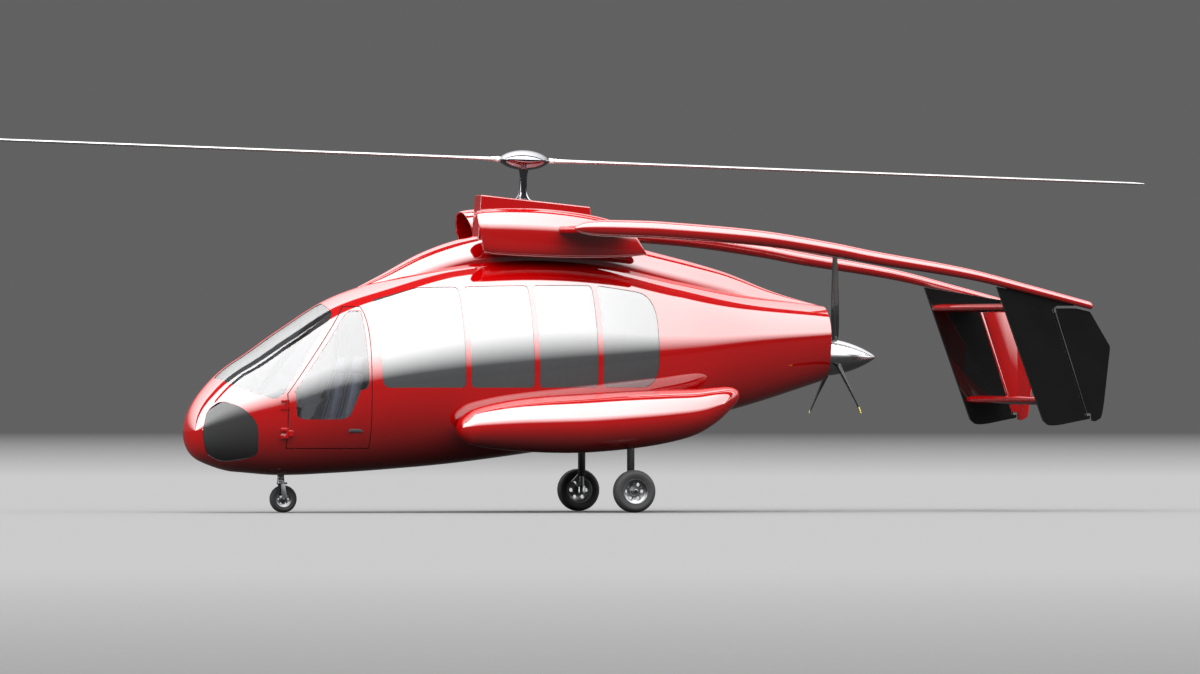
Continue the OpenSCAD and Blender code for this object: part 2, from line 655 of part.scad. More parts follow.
module battery() {
    low_z = cabin_floor_z - floor_t - battery_size[2];
    color("darkslategray") translate([battery_x, -battery_size[1] / 2, low_z]) cube(battery_size);
}
motor_l = 520;
motor_r = 185;
module motor() {
    color("silver") translate([tail_x - floor_t - motor_l, 0, propeller_z]) rotate([0, 90, 0]) {
        cylinder(h = motor_l, r = motor_r);
        cylinder(h = propeller_x - tail_x + floor_t + motor_l + 120, r = propeller_shaft_d / 2);
    }
}
module nose_leg() {
    color("silver") translate([nose_gear_x, 0, 0]) difference() {
        translate([0, 0, nose_leg_z0]) cylinder(h = nose_leg_top - nose_leg_z0, r = nose_leg_r);
        translate([0, 0, nose_leg_z0 - 1]) cylinder(h = 130, r = steer_pin_r + running_gap);
    }
}
module nose_fork() {
    color("silver") translate([nose_gear_x, 0, 0]) difference() {
        union() {
            translate([0, 0, nose_leg_z0 - 4]) cylinder(h = 120, r = steer_pin_r);
            translate([0, 0, crown_z]) cylinder(h = crown_h, r = nose_leg_r);
            translate([-30, -nose_tyre_w / 2 - 30, crown_z]) cube([60 + caster, nose_tyre_w + 60, crown_h]);
            for (s = [-1, 1]) translate([0, s * (nose_tyre_w / 2 + 20) - 10, 0]) hull() {
                translate([-20, 0, crown_z]) cube([50, 20, crown_h]);
                translate([caster, 20, nose_tyre_d / 2]) rotate([90, 0, 0])
                    cylinder(h = 20, r = 30, $fn = 32);
            }
            translate([caster, nose_tyre_w / 2 + 42, nose_tyre_d / 2]) rotate([90, 0, 0])
                cylinder(h = nose_tyre_w + 84, r = nose_axle_r);
        }
        translate([caster, nose_tyre_w / 2 + 50, nose_tyre_d / 2]) rotate([90, 0, 0])
            cylinder(h = nose_tyre_w + 100, r = tow_bore_r);
    }
}
// Wheel parts on the Y axis: the rim has a bore, the tyre sits on the rim.
module rim(d, w, bore_r) {
    rim_r = 0.31 * d;
    rotate([90, 0, 0]) rotate_extrude() polygon([[bore_r, -w * 0.42], [bore_r + 22, -w * 0.42],
        [bore_r + 22, -w * 0.12], [rim_r - 18, -w * 0.12], [rim_r - 18, -w * 0.42],
        [rim_r, -w * 0.42], [rim_r, w * 0.42], [rim_r - 18, w * 0.42],
        [rim_r - 18, w * 0.12], [bore_r + 22, w * 0.12], [bore_r + 22, w * 0.42],
        [bore_r, w * 0.42]]);
}
module tyre(d, w) {
    r0 = 0.31 * d;
    r1 = d / 2;
    rotate([90, 0, 0]) rotate_extrude() polygon([[r0, -w * 0.4], [r0 + 12, -w * 0.46],
        [(r0 + r1) / 2, -w / 2], [r1 - 28, -w * 0.44],
        [r1 - 8, -w * 0.32], [r1, -w * 0.16], [r1, w * 0.16], [r1 - 8, w * 0.32],
        [r1 - 28, w * 0.44], [(r0 + r1) / 2, w / 2], [r0 + 12, w * 0.46], [r0, w * 0.4]]);
}
module at_nose_wheel() { translate([nose_gear_x + caster, 0, nose_tyre_d / 2]) children(); }
module at_main_wheel() { translate([main_gear_x, -main_wheel_y, main_tyre_d / 2]) children(); }
module nose_rim() {
    color("silver") at_nose_wheel() rim(nose_tyre_d, nose_tyre_w, nose_axle_r + running_gap);
}
module nose_tyre() { color("black") at_nose_wheel() tyre(nose_tyre_d, nose_tyre_w); }
module main_rim() { at_main_wheel() rim(main_tyre_d, main_tyre_w, main_axle_r + running_gap); }
module main_rim_left() { color("silver") main_rim(); }
module main_rim_right() { color("silver") on_side(1) main_rim(); }
module main_tyre_left() { color("black") at_main_wheel() tyre(main_tyre_d, main_tyre_w); }
module main_tyre_right() { color("black") on_side(1) at_main_wheel() tyre(main_tyre_d, main_tyre_w); }
module main_leg() {
    foot_z = main_tyre_d / 2 - 40;
    translate([main_gear_x, -main_leg_y, foot_z]) cylinder(h = main_leg_top - foot_z, r = main_leg_r);
    translate([main_gear_x, -main_leg_y, main_tyre_d / 2]) rotate([90, 0, 0])
        cylinder(h = main_wheel_y - main_leg_y + main_tyre_w * 0.42 + 6, r = main_axle_r);
}
module main_legs() { color("silver") for (side = [-1, 1]) on_side(side) main_leg(); }
module hinge_pins() {
    color("silver") for (side = [-1, 1]) on_side(side) at_hinges() {
        cylinder(h = knuckle_h + 2 * (lug_h + lug_gap), r = hinge_pin_r, center = true);
        for (s = [-1, 1]) translate([0, 0, s * (knuckle_h / 2 + lug_gap + lug_h / 2)])
            cylinder(h = lug_h, r = hinge_r, center = true);
        frame_arms();
    }
}
module door_hinges() {
    at_hinges() difference() {
        union() {
            cylinder(h = knuckle_h, r = hinge_r, center = true);
            door_arm();
        }
        cylinder(h = knuckle_h + 2, r = hinge_pin_r + running_gap, center = true);
    }
}
module door() {
    difference() {
        intersection() {
            panel(door_hinge_x - 40, cockpit_end + 20, 100, 250);
            door_prism(0);
        }
        door_pane_cutter();
        hinge_hollow();
        at_hinges() door_arm();
    }
}
module door_window() {
    intersection() {
        panel(door_hinge_x - 40, cockpit_end + 20, 100, 250, pane, pane_inset);
        door_pane_cutter();
    }
}
module door_left() { color("red") door(); }
module door_right() { color("red") on_side(1) door(); }
module door_left_window() { color("lightgray", 0.5) door_window(); }
module door_right_window() { color("lightgray", 0.5) on_side(1) door_window(); }
module door_left_hinges() { color("silver") door_hinges(); }
module door_right_hinges() { color("silver") on_side(1) door_hinges(); }
module rudder_left() { color("black") rudder(); }
module rudder_right() { color("black") on_side(1) rudder(); }
module rotor_hub() {
    color("dimgray") at_hub() difference() {
        rotate_extrude() polygon([for (a = [-90 : 10 : 90])
            [abs(a) == 90 ? 0 : hub_r * pow(cos(a), 0.6), hub_half_h * sin(a)]]);
        translate([0, 0, -hub_half_h - 1]) cylinder(h = hub_half_h + 62, r = mast_d / 2 + running_gap);
        for (s = [-1, 1]) rotate([0, s * 90, 0]) translate([0, 0, grip_in]) cylinder(h = hub_r, r = shank_r);
    }
}
module rotor_blade() {
    rotate([0, 90, 0]) translate([0, 0, grip_in]) cylinder(h = 0.05 * rotor_d / 2, r = shank_r);
    loft([for (b = BLADE) let (reach = b[0] * rotor_d / 2 + 60 * (1 - b[0]))
        [for (p = lens(blade_chord * b[1], blade_t * b[2])) [reach, p[0], p[1]]]]);
}
module rotor_blades() { color("white") at_hub() for (a = [0, 180]) rotate([0, 0, a]) rotor_blade(); }
module at_propeller() { translate([propeller_x, 0, propeller_z]) children(); }
prop_shank_r = 34;
module spinner() {
    l0 = spinner_x0 - propeller_x;
    l1 = spinner_x1 - propeller_x;
    color("silver") at_propeller() difference() {
        rotate([0, 90, 0]) rotate_extrude() polygon(concat(
            [[0, l0], [spinner_r - 12, l0], [spinner_r, l0 + 14]],
            [for (i = [1 : 10]) let (t = i / 10)
                [i == 10 ? 0 : spinner_r * sqrt(1 - pow(t, 1.7)), l0 + 14 + t * (l1 - l0 - 14)]]));
        rotate([0, 90, 0]) translate([0, 0, l0 - 1])
            cylinder(h = 123 - l0, r = propeller_shaft_d / 2 + running_gap);
        for (i = [0 : 2]) rotate([i * 120, 0, 0]) translate([0, 0, 90]) cylinder(h = 300, r = prop_shank_r);
    }
}
module propeller_blade() {
    translate([0, 0, 90]) cylinder(h = 160, r = prop_shank_r);
    loft([for (b = PROP) [for (p = lens(b[1], b[2])) let (c = cos(b[3]), s = sin(b[3]))
        [p[0] * s - p[1] * c, p[0] * c + p[1] * s, b[0] * propeller_d / 2]]]);
}
module propeller_blades() {
    color("black") at_propeller() for (i = [0 : 2]) rotate([i * 120, 0, 0]) propeller_blade();
}

cockpit_shell();
cabin_side_left();
cabin_side_right();
roof_shell();
belly_front_left();
belly_front_right();
belly_rear_left();
belly_rear_right();
tail_left();
tail_right();
spine_fairing();
nacelles();
stub_wings();
booms();
fins();
stabilisers();
sponsons();
rotor_pylon();
mast();
windshield();
chin_windows();
cabin_windows();
cabin_floor();
instrument_panel();
pilot_seats();
passenger_seats();
bulkheads();
battery();
motor();
nose_leg();
main_legs();
hinge_pins();
rotor_hub();
rotor_blades();
spinner();
propeller_blades();
door_left();
door_left_window();
door_left_hinges();
door_right();
door_right_window();
door_right_hinges();
rudder_left();
rudder_right();
nose_fork();
nose_rim();
nose_tyre();
main_rim_left();
main_tyre_left();
main_rim_right();
main_tyre_right();
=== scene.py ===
"""Looks of a twin-boom electric rotorcraft, modelled over its packed construction. Metres."""
import logging
import math
from collections.abc import Callable, Iterable, Iterator, Sequence
from contextlib import contextmanager
from dataclasses import dataclass
from enum import Enum

import bpy
import numpy as np
from mathutils import Matrix, Vector


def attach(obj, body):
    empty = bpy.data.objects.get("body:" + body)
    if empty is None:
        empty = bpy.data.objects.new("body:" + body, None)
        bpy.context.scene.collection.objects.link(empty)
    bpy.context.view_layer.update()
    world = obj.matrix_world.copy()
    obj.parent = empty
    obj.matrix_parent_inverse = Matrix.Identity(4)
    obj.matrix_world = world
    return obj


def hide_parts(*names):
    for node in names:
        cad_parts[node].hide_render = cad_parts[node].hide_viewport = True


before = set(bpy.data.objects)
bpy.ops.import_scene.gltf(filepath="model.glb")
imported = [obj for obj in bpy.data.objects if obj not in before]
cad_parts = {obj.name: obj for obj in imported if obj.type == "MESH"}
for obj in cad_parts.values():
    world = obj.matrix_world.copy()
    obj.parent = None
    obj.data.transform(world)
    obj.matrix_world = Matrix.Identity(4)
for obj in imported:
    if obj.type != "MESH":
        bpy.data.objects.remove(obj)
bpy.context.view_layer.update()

log = logging.getLogger("rotorcraft")
Point = Sequence[float]
Pair = tuple[float, float]
Triple = tuple[float, float, float]
Triples = tuple[Triple, ...]
Table = tuple[tuple[float, ...], ...]
Tree = bpy.types.NodeTree
Piece = bpy.types.Object
Array = np.ndarray
DOUBLES = 1e-5
COAT_ROUGHNESS = 0.02
BUMP_STRENGTH = 0.6
AIRFRAME = "airframe"


class Side(Enum):
    """Side of the aircraft, with the sign of its Y coordinate."""

    LEFT = -1
    RIGHT = 1

    @property
    def word(self) -> str:
        """Name of the side as it stands in node names."""
        return self.name.lower()


class Slot(Enum):
    """Material slots of the record."""

    RED = "red_paint"
    BLACK = "black_paint"
    WHITE = "white_paint"
    SILVER = "silver_paint"
    GLASS = "tinted_glass"
    CHROME = "dark_chrome"
    METAL = "bare_metal"
    LINING = "cabin_lining"
    PANEL = "panel_black"
    LEATHER = "seat_leather"
    BATTERY = "battery_case"
    RUBBER = "tyre_rubber"


# Mesh tools


def deselect() -> None:
    """Leaves nothing selected and nothing active."""
    for obj in bpy.context.selected_objects:
        obj.select_set(False)
    bpy.context.view_layer.objects.active = None


def activate(obj: Piece) -> None:
    """Makes obj the one selected and active object.

    Args:
        obj: the object.
    """
    deselect()
    obj.select_set(True)
    bpy.context.view_layer.objects.active = obj


@contextmanager
def editing(obj: Piece, everything: bool = True) -> Iterator[None]:
    """Opens an object in edit mode for the block.

    Args:
        obj: the object.
        everything: selects all of it.
    """
    activate(obj)
    bpy.ops.object.mode_set(mode="EDIT")
    bpy.ops.mesh.select_all(action="SELECT" if everything else "DESELECT")
    yield
    bpy.ops.object.mode_set(mode="OBJECT")


def settle(obj: Piece) -> Piece:
    """Puts the place, turn and scale of obj into its mesh.

    Args:
        obj: the object.
    Returns:
        obj.
    """
    activate(obj)
    bpy.ops.object.transform_apply(location=True, rotation=True, scale=True)
    return obj


def modify(obj: Piece, kind: str, **settings: object) -> Piece:
    """Adds a modifier and applies it.

    Args:
        obj: the object.
        kind: type of the modifier.
        settings: its values by name.
    Returns:
        obj.
    """
    modifier = obj.modifiers.new(kind.title(), kind)
    for key, value in settings.items():
        setattr(modifier, key, value)
    activate(obj)
    bpy.ops.object.modifier_apply(modifier=modifier.name)
    return obj


def cut(obj: Piece, cutter: Piece, operation: str = "DIFFERENCE") -> Piece:
    """Cuts obj with a closed cutter and removes the cutter.

    Args:
        obj: the object.
        cutter: the closed cutter.
        operation: the boolean operation.
    Returns:
        obj.
    """
    modify(obj, "BOOLEAN", object=cutter, operation=operation, solver="EXACT")
    bpy.data.objects.remove(cutter)
    return obj


def join(parts: Sequence[Piece], name: str) -> Piece:
    """Joins parts into one object.

    Args:
        parts: the objects.
        name: name of the joined object.
    Returns:
        The joined object.
    """
    activate(parts[0])
    for part in parts:
        part.select_set(True)
    if len(parts) > 1:
        bpy.ops.object.join()
    joined = bpy.context.view_layer.objects.active
    joined.name = name
    joined.data.name = name
    return joined


def twin(obj: Piece, name: str) -> Piece:
    """Copies an object with its mesh.

    Args:
        obj: the object.
        name: name of the copy.
    Returns:
        The copy.
    """
    copy = obj.copy()
    copy.data = obj.data.copy()
    copy.name = name
    bpy.context.scene.collection.objects.link(copy)
    return copy


def mirrored(obj: Piece, name: str) -> Piece:
    """Copies an object to the other side, with its faces turned outwards.

    Args:
        obj: the object.
        name: name of the copy.
    Returns:
        The mirrored copy.
    """
    copy = twin(obj, name)
    copy.data.transform(Matrix.Diagonal((1.0, -1.0, 1.0, 1.0)))
    copy.data.flip_normals()
    return copy


def shade(obj: Piece, degrees: float = 35.0) -> Piece:
    """Shades obj smooth where its faces meet below an angle.

    Args:
        obj: the object.
        degrees: the angle.
    Returns:
        obj.
    """
    activate(obj)
    bpy.ops.object.shade_smooth_by_angle(angle=math.radians(degrees))
    return obj


def crisp(obj: Piece, degrees: float = 35.0) -> Piece:
    """Shades obj smooth with its large faces kept flat and returns obj."""
    return modify(shade(obj, degrees), "WEIGHTED_NORMAL", keep_sharp=True, weight=100)


def soften(obj: Piece, width: float, segments: int = 3, degrees: float = 50.0) -> Piece:
    """Bevels the edges of obj that turn by more than an angle and returns obj."""
    return modify(obj, "BEVEL", width=width, segments=segments, limit_method="ANGLE",
                  angle_limit=math.radians(degrees))


def weld(obj: Piece) -> Piece:
    """Merges doubles and turns the faces outwards.

    Args:
        obj: the object.
    Returns:
        obj.
    """
    with editing(obj):
        bpy.ops.mesh.remove_doubles(threshold=DOUBLES)
        bpy.ops.mesh.normals_make_consistent(inside=False)
    return obj


def corners(obj: Piece) -> Array:
    """Reads the vertices of an object.

    Args:
        obj: the object.
    Returns:
        Its vertices as rows.
    """
    flat = np.empty(len(obj.data.vertices) * 3)
    obj.data.vertices.foreach_get("co", flat)
    return flat.reshape(-1, 3)


def set_corners(obj: Piece, points: Array) -> None:
    """Moves the vertices of obj to these rows."""
    obj.data.vertices.foreach_set("co", np.asarray(points, dtype=float).ravel())
    obj.data.update()


def sheet(name: str, cells: tuple[int, int], shape: Callable[[Array, Array], Array],
          closed: bool = False) -> Piece:
    """Lays a grid over a surface.

    Args:
        name: name of the new object.
        cells: cells along the two directions of the surface.
        shape: gives the rows of points for the shares along the two directions.
        closed: merges the grid's edges where they meet.
    Returns:
        The new object.
    """
    deselect()
    bpy.ops.mesh.primitive_grid_add(x_subdivisions=cells[0], y_subdivisions=cells[1], size=2)
    obj = bpy.context.object
    obj.name = obj.data.name = name
    shares = (corners(obj)[:, :2] + 1) / 2
    set_corners(obj, shape(shares[:, 0], shares[:, 1]))
    return weld(obj) if closed else obj


def capped(obj: Piece) -> Piece:
    """Closes the open ends of obj by faces and turns its faces outwards.

    Args:
        obj: the object.
    Returns:
        obj.
    """
    with editing(obj, everything=False):
        bpy.ops.mesh.select_mode(type="EDGE")
        bpy.ops.mesh.select_non_manifold(extend=False)
        bpy.ops.mesh.fill()
        bpy.ops.mesh.select_all(action="SELECT")
        bpy.ops.mesh.normals_make_consistent(inside=False)
        bpy.ops.mesh.select_mode(type="VERT")
    return obj


def bent(value: Array, power: Array | float) -> Array:
    """Returns the values raised to a power with their signs kept."""
    return np.sign(value) * np.abs(value) ** power


def toward(direction: Point) -> Matrix:
    """Returns the turn that takes +Z to a direction."""
    return Vector(direction).to_track_quat("Z", "Y").to_matrix().to_4x4()


def lathe(name: str, profile: Sequence[Pair], origin: Point, axis: Point,
          around: int = 64) -> Piece:
    """Spins a profile about an axis.

    Args:
        name: name of the new object.
        profile: radius and height of each corner, from the low end to the high end.
        origin: place of height 0.
        axis: direction of the axis.
        around: faces around the axis.
    Returns:
        The new object, closed where its profile starts and ends on the axis.
    """
    rows = np.array(profile)
    steps = len(rows) - 1

    def shape(u: Array, v: Array) -> Array:
        """Returns the points of the spun profile."""
        at = np.rint(u * steps).astype(int)
        turn = v * math.tau
        return np.stack([rows[at, 0] * np.cos(turn), rows[at, 0] * np.sin(turn), rows[at, 1]], 1)

    obj = sheet(name, (steps, around), shape, closed=True)
    obj.data.transform(Matrix.Translation(Vector(origin)) @ toward(axis))
    return obj


def bar(name: str, start: Point, end: Point, radius: float, around: int = 24,
        bevel: float = 0.0) -> Piece:
    """Makes a round bar between two points.

    Args:
        name: name of the new object.
        start: middle of its first end.
        end: middle of its second end.
        radius: its radius.
        around: faces around it.
        bevel: width of the bevel on its ends.
    Returns:
        The new object.
    """
    a, b = Vector(start), Vector(end)
    deselect()
    bpy.ops.mesh.primitive_cylinder_add(vertices=around, radius=radius, depth=(b - a).length)
    obj = bpy.context.object
    obj.name = obj.data.name = name
    obj.data.transform(Matrix.Translation((a + b) / 2) @ toward(b - a))
    if bevel:
        soften(obj, bevel, segments=2)
    return obj


def block(name: str, low: Point, high: Point, bevel: float = 0.0,
          segments: int = 3) -> Piece:
    """Makes a block between two corners.

    Args:
        name: name of the new object.
        low: its low corner.
        high: its high corner.
        bevel: width of the bevel on its edges.
        segments: faces across the bevel.
    Returns:
        The new object.
    """
    a, b = Vector(low), Vector(high)
    deselect()
    bpy.ops.mesh.primitive_cube_add(size=1)
    obj = bpy.context.object
    obj.name = obj.data.name = name
    obj.data.transform(Matrix.Translation((a + b) / 2) @ Matrix.Diagonal((*(b - a), 1.0)))
    if bevel:
        soften(obj, bevel, segments, degrees=40.0)
    return obj


def prism(name: str, outline: Sequence[Point], direction: Point,
          reach: Pair, bevel: float = 0.0) -> Piece:
    """Extrudes an outline in space along a direction.

    Args:
        name: name of the new object.
        outline: points in space; they are laid flat at the first one, across the direction.
        direction: direction of the extrusion.
        reach: start and end of the extrusion, from the first point.
        bevel: width of the bevel on its edges.
    Returns:
        The new closed object.
    """
    axis = Vector(direction).normalized()
    first = Vector(outline[0])
    flat = [Vector(p) - axis * (Vector(p) - first).dot(axis) + axis * reach[0] for p in outline]
    deselect()
    bpy.ops.mesh.primitive_circle_add(vertices=len(flat), fill_type="NGON")
    obj = bpy.context.object
    obj.name = obj.data.name = name
    set_corners(obj, np.array(flat))
    with editing(obj):
        bpy.ops.mesh.extrude_region_move(TRANSFORM_OT_translate={"value": axis * (reach[1] - reach[0])})
        bpy.ops.mesh.select_all(action="SELECT")
        bpy.ops.mesh.normals_make_consistent(inside=False)
    if bevel:
        soften(obj, bevel)
    return obj


def rounded(outline: Sequence[Point], steps: int = 6) -> list[Pair]:
    """Rounds the corners of an outline.

    Args:
        outline: corners as u, v and the share of its edges that the rounding takes.
        steps: lines around a rounding.
    Returns:
        The points of the rounded outline.
    """
    count = len(outline)
    made: list[Pair] = []
    for i, (u, v, share) in enumerate(outline):
        before, after = outline[i - 1], outline[(i + 1) % count]
        if not share:
            made.append((u, v))
            continue
        start = (u + (before[0] - u) * share, v + (before[1] - v) * share)
        end = (u + (after[0] - u) * share, v + (after[1] - v) * share)
        for k in range(steps + 1):
            t = k / steps
            a, b, c = (1 - t) ** 2, 2 * t * (1 - t), t * t
            made.append((a * start[0] + b * u + c * end[0], a * start[1] + b * v + c * end[1]))
    return made


def smooth_row(table: Sequence[Point], column: int, x: Array) -> Array:
    """Interpolates a column of a table smoothly over its first column.

    Args:
        table: its rows.
        column: index of the column.
        x: places in the first column.
    Returns:
        The values at these places.
    """
    rows = np.array(table)
    xs, values = rows[:, 0], rows[:, column]
    slopes = np.gradient(values, xs)
    slopes[1:-1] = (values[2:] - values[:-2]) / (xs[2:] - xs[:-2])
    i = np.clip(np.searchsorted(xs, x) - 1, 0, len(xs) - 2)
    h = xs[i + 1] - xs[i]
    u = (x - xs[i]) / h
    return (values[i] * (1 + 2 * u) * (1 - u) ** 2 + slopes[i] * h * u * (1 - u) ** 2
            + values[i + 1] * u * u * (3 - 2 * u) + slopes[i + 1] * h * u * u * (u - 1))


# Finishes


def set_inputs(node: bpy.types.Node, values: dict[str, object]) -> None:
    """Sets the plain values of a node's inputs by their names."""
    for key, value in values.items():
        node.inputs[key].default_value = value


def grey(value: float) -> tuple[float, float, float, float]:
    """Returns a grey as a colour for a node."""
    return value, value, value, 1.0


def effect(name: str, inputs: dict[str, float], outputs: Sequence[str]) -> tuple[Tree, dict]:
    """Starts a shader node group with Object coordinates.

    Args:
        name: name of the group.
        inputs: default values of its inputs by name.
        outputs: names of its outputs.
    Returns:
        The group, and its nodes by name.
    """
    tree = bpy.data.node_groups.new(name, "ShaderNodeTree")
    for key, value in inputs.items():
        socket = tree.interface.new_socket(key, in_out="INPUT", socket_type="NodeSocketFloat")
        socket.default_value = value
    for key in outputs:
        tree.interface.new_socket(key, in_out="OUTPUT", socket_type="NodeSocketFloat")
    nodes = {"in": tree.nodes.new("NodeGroupInput"), "out": tree.nodes.new("NodeGroupOutput"),
             "place": tree.nodes.new("ShaderNodeTexCoord")}
    return tree, nodes


def mottle_effect() -> Tree:
    """Group: slow change over a surface, for colour and gloss. Put out as Mask."""
    tree, n = effect("Mottle", {"Scale": 3.0, "Detail": 4.0}, ["Mask"])
    noise = tree.nodes.new("ShaderNodeTexNoise")
    tree.links.new(n["place"].outputs["Object"], noise.inputs["Vector"])
    tree.links.new(n["in"].outputs["Scale"], noise.inputs["Scale"])
    tree.links.new(n["in"].outputs["Detail"], noise.inputs["Detail"])
    tree.links.new(noise.outputs["Fac"], n["out"].inputs["Mask"])
    return tree


def grain_effect() -> Tree:
    """Group: pebbled grain of leather and moulded plastic. Put out as Height."""
    tree, n = effect("Grain", {"Scale": 300.0}, ["Height"])
    cells = tree.nodes.new("ShaderNodeTexVoronoi")
    cells.feature = "SMOOTH_F1"
    noise = tree.nodes.new("ShaderNodeTexNoise")
    blend = tree.nodes.new("ShaderNodeMath")
    blend.operation = "ADD"
    for texture in (cells, noise):
        tree.links.new(n["place"].outputs["Object"], texture.inputs["Vector"])
        tree.links.new(n["in"].outputs["Scale"], texture.inputs["Scale"])
    tree.links.new(cells.outputs["Distance"], blend.inputs[0])
    tree.links.new(noise.outputs["Fac"], blend.inputs[1])
    tree.links.new(blend.outputs["Value"], n["out"].inputs["Height"])
    return tree


def brush_effect() -> Tree:
    """Group: fine lines of turned or brushed metal. Put out as Mask."""
    tree, n = effect("Brush", {"Scale": 60.0}, ["Mask"])
    mapping = tree.nodes.new("ShaderNodeMapping")
    mapping.inputs["Scale"].default_value = (12.0, 1.0, 1.0)
    noise = tree.nodes.new("ShaderNodeTexNoise")
    noise.inputs["Detail"].default_value = 6.0
    tree.links.new(n["place"].outputs["Object"], mapping.inputs["Vector"])
    tree.links.new(mapping.outputs["Vector"], noise.inputs["Vector"])
    tree.links.new(n["in"].outputs["Scale"], noise.inputs["Scale"])
    tree.links.new(noise.outputs["Fac"], n["out"].inputs["Mask"])
    return tree


@dataclass(frozen=True)
class Finish:
    """A surface finish, made once as a node material.

    Colours are linear. tone is the colour that the mottle mixes in, the two gloss values are the least and
    greatest roughness, and edge is the grey that tints a metal's reflection at a glancing angle.
    """

    name: str
    slot: Slot
    colour: Triple
    tone: Triple
    gloss: Pair
    metallic: float = 0.0
    coat: float = 0.0
    coat_ior: float = 1.5
    ior: float = 1.5
    specular: float = 0.5
    edge: float = 1.0
    transmission: float = 0.0
    mottle_scale: float = 3.0
    grain_scale: float = 0.0
    grain_depth: float = 0.0
    brushed: bool = False
    sheen: float = 0.0
    band_from: float = 0.0
    band_colour: Triple = (0.0, 0.0, 0.0)

    def material(self) -> bpy.types.Material:
        """Returns the material of the finish, making it on first use."""
        made = bpy.data.materials.get(self.name)
        return made or self._make()

    def _make(self) -> bpy.types.Material:
        """Builds the material's nodes."""
        material = bpy.data.materials.new(self.name)
        material.use_nodes = True
        tree = material.node_tree
        shader = tree.nodes["Principled BSDF"]
        set_inputs(shader, {
            "Metallic": self.metallic, "IOR": self.ior, "Specular IOR Level": self.specular,
            "Specular Tint": grey(self.edge), "Coat Weight": self.coat, "Coat IOR": self.coat_ior,
            "Coat Roughness": COAT_ROUGHNESS, "Transmission Weight": self.transmission,
            "Sheen Weight": self.sheen})
        change = tree.nodes.new("ShaderNodeGroup")
        if self.brushed:
            change.node_tree = bpy.data.node_groups.get("Brush") or brush_effect()
        else:
            change.node_tree = bpy.data.node_groups.get("Mottle") or mottle_effect()
        change.inputs["Scale"].default_value = self.mottle_scale
        tint = tree.nodes.new("ShaderNodeMix")
        tint.data_type = "RGBA"
        tint.inputs["A"].default_value = (*self.colour, 1.0)
        tint.inputs["B"].default_value = (*self.tone, 1.0)
        tree.links.new(change.outputs["Mask"], tint.inputs["Factor"])
        colour = tint.outputs["Result"]
        if self.band_from:
            colour = self._band(tree, colour)
        tree.links.new(colour, shader.inputs["Base Color"])
        gloss = tree.nodes.new("ShaderNodeMapRange")
        set_inputs(gloss, {"To Min": self.gloss[0], "To Max": self.gloss[1]})
        tree.links.new(change.outputs["Mask"], gloss.inputs["Value"])
        tree.links.new(gloss.outputs["Result"], shader.inputs["Roughness"])
        if self.grain_depth:
            grain = tree.nodes.new("ShaderNodeGroup")
            grain.node_tree = bpy.data.node_groups.get("Grain") or grain_effect()
            grain.inputs["Scale"].default_value = self.grain_scale
            bump = tree.nodes.new("ShaderNodeBump")
            set_inputs(bump, {"Strength": BUMP_STRENGTH, "Distance": self.grain_depth})
            tree.links.new(grain.outputs["Height"], bump.inputs["Height"])
            tree.links.new(bump.outputs["Normal"], shader.inputs["Normal"])
        return material

    def _band(self, tree: Tree, colour: bpy.types.NodeSocket) -> bpy.types.NodeSocket:
        """Mixes in the band colour beyond a distance from the propeller's axis.

        Args:
            tree: the material's nodes.
            colour: colour within the distance.
        Returns:
            The mixed colour.
        """
        place = tree.nodes.new("ShaderNodeTexCoord")
        mapping = tree.nodes.new("ShaderNodeMapping")
        mapping.inputs["Location"].default_value = (0.0, 0.0, -PropellerForm.height)
        mapping.inputs["Scale"].default_value = (0.0, 1.0, 1.0)
        length = tree.nodes.new("ShaderNodeVectorMath")
        length.operation = "LENGTH"
        step = tree.nodes.new("ShaderNodeMath")
        step.operation = "GREATER_THAN"
        step.inputs[1].default_value = self.band_from
        mix = tree.nodes.new("ShaderNodeMix")
        mix.data_type = "RGBA"
        mix.inputs["B"].default_value = (*self.band_colour, 1.0)
        tree.links.new(place.outputs["Object"], mapping.inputs["Vector"])
        tree.links.new(mapping.outputs["Vector"], length.inputs[0])
        tree.links.new(length.outputs["Value"], step.inputs[0])
        tree.links.new(step.outputs["Value"], mix.inputs["Factor"])
        tree.links.new(colour, mix.inputs["A"])
        return mix.outputs["Result"]


RED_PAINT = Finish("red_gloss_paint", Slot.RED, (0.31, 0.0005, 0.001), (0.28, 0.0003, 0.0006), (0.2, 0.28),
                   coat=1.0, coat_ior=2.4, specular=0.0, grain_scale=420.0, grain_depth=0.00002,
                   mottle_scale=1.2)
BLACK_PAINT = Finish("black_satin_paint", Slot.BLACK, (0.004, 0.004, 0.0042), (0.007, 0.007, 0.007),
                     (0.32, 0.45), coat=1.0, specular=0.0, grain_scale=500.0, grain_depth=0.00003)
WHITE_PAINT = Finish("white_blade_paint", Slot.WHITE, (0.74, 0.74, 0.73), (0.66, 0.66, 0.65), (0.2, 0.32),
                     coat=0.6, mottle_scale=2.0)
SILVER_PAINT = Finish("spinner_silver", Slot.SILVER, (0.5, 0.505, 0.52), (0.42, 0.425, 0.44), (0.16, 0.26),
                      metallic=1.0, brushed=True, mottle_scale=25.0)
DARK_CHROME = Finish("dark_chrome", Slot.CHROME, (0.065, 0.065, 0.07), (0.045, 0.045, 0.05), (0.03, 0.08),
                     metallic=1.0, edge=0.12, mottle_scale=8.0)
BARE_METAL = Finish("turned_steel", Slot.METAL, (0.32, 0.325, 0.335), (0.25, 0.255, 0.265), (0.18, 0.36),
                    metallic=1.0, brushed=True, mottle_scale=70.0)
CLEAR_GLASS = Finish("smoked_clear_glass", Slot.GLASS, (0.88, 0.9, 0.92), (0.84, 0.86, 0.88), (0.0, 0.012),
                     ior=2.2, transmission=1.0, mottle_scale=2.0)
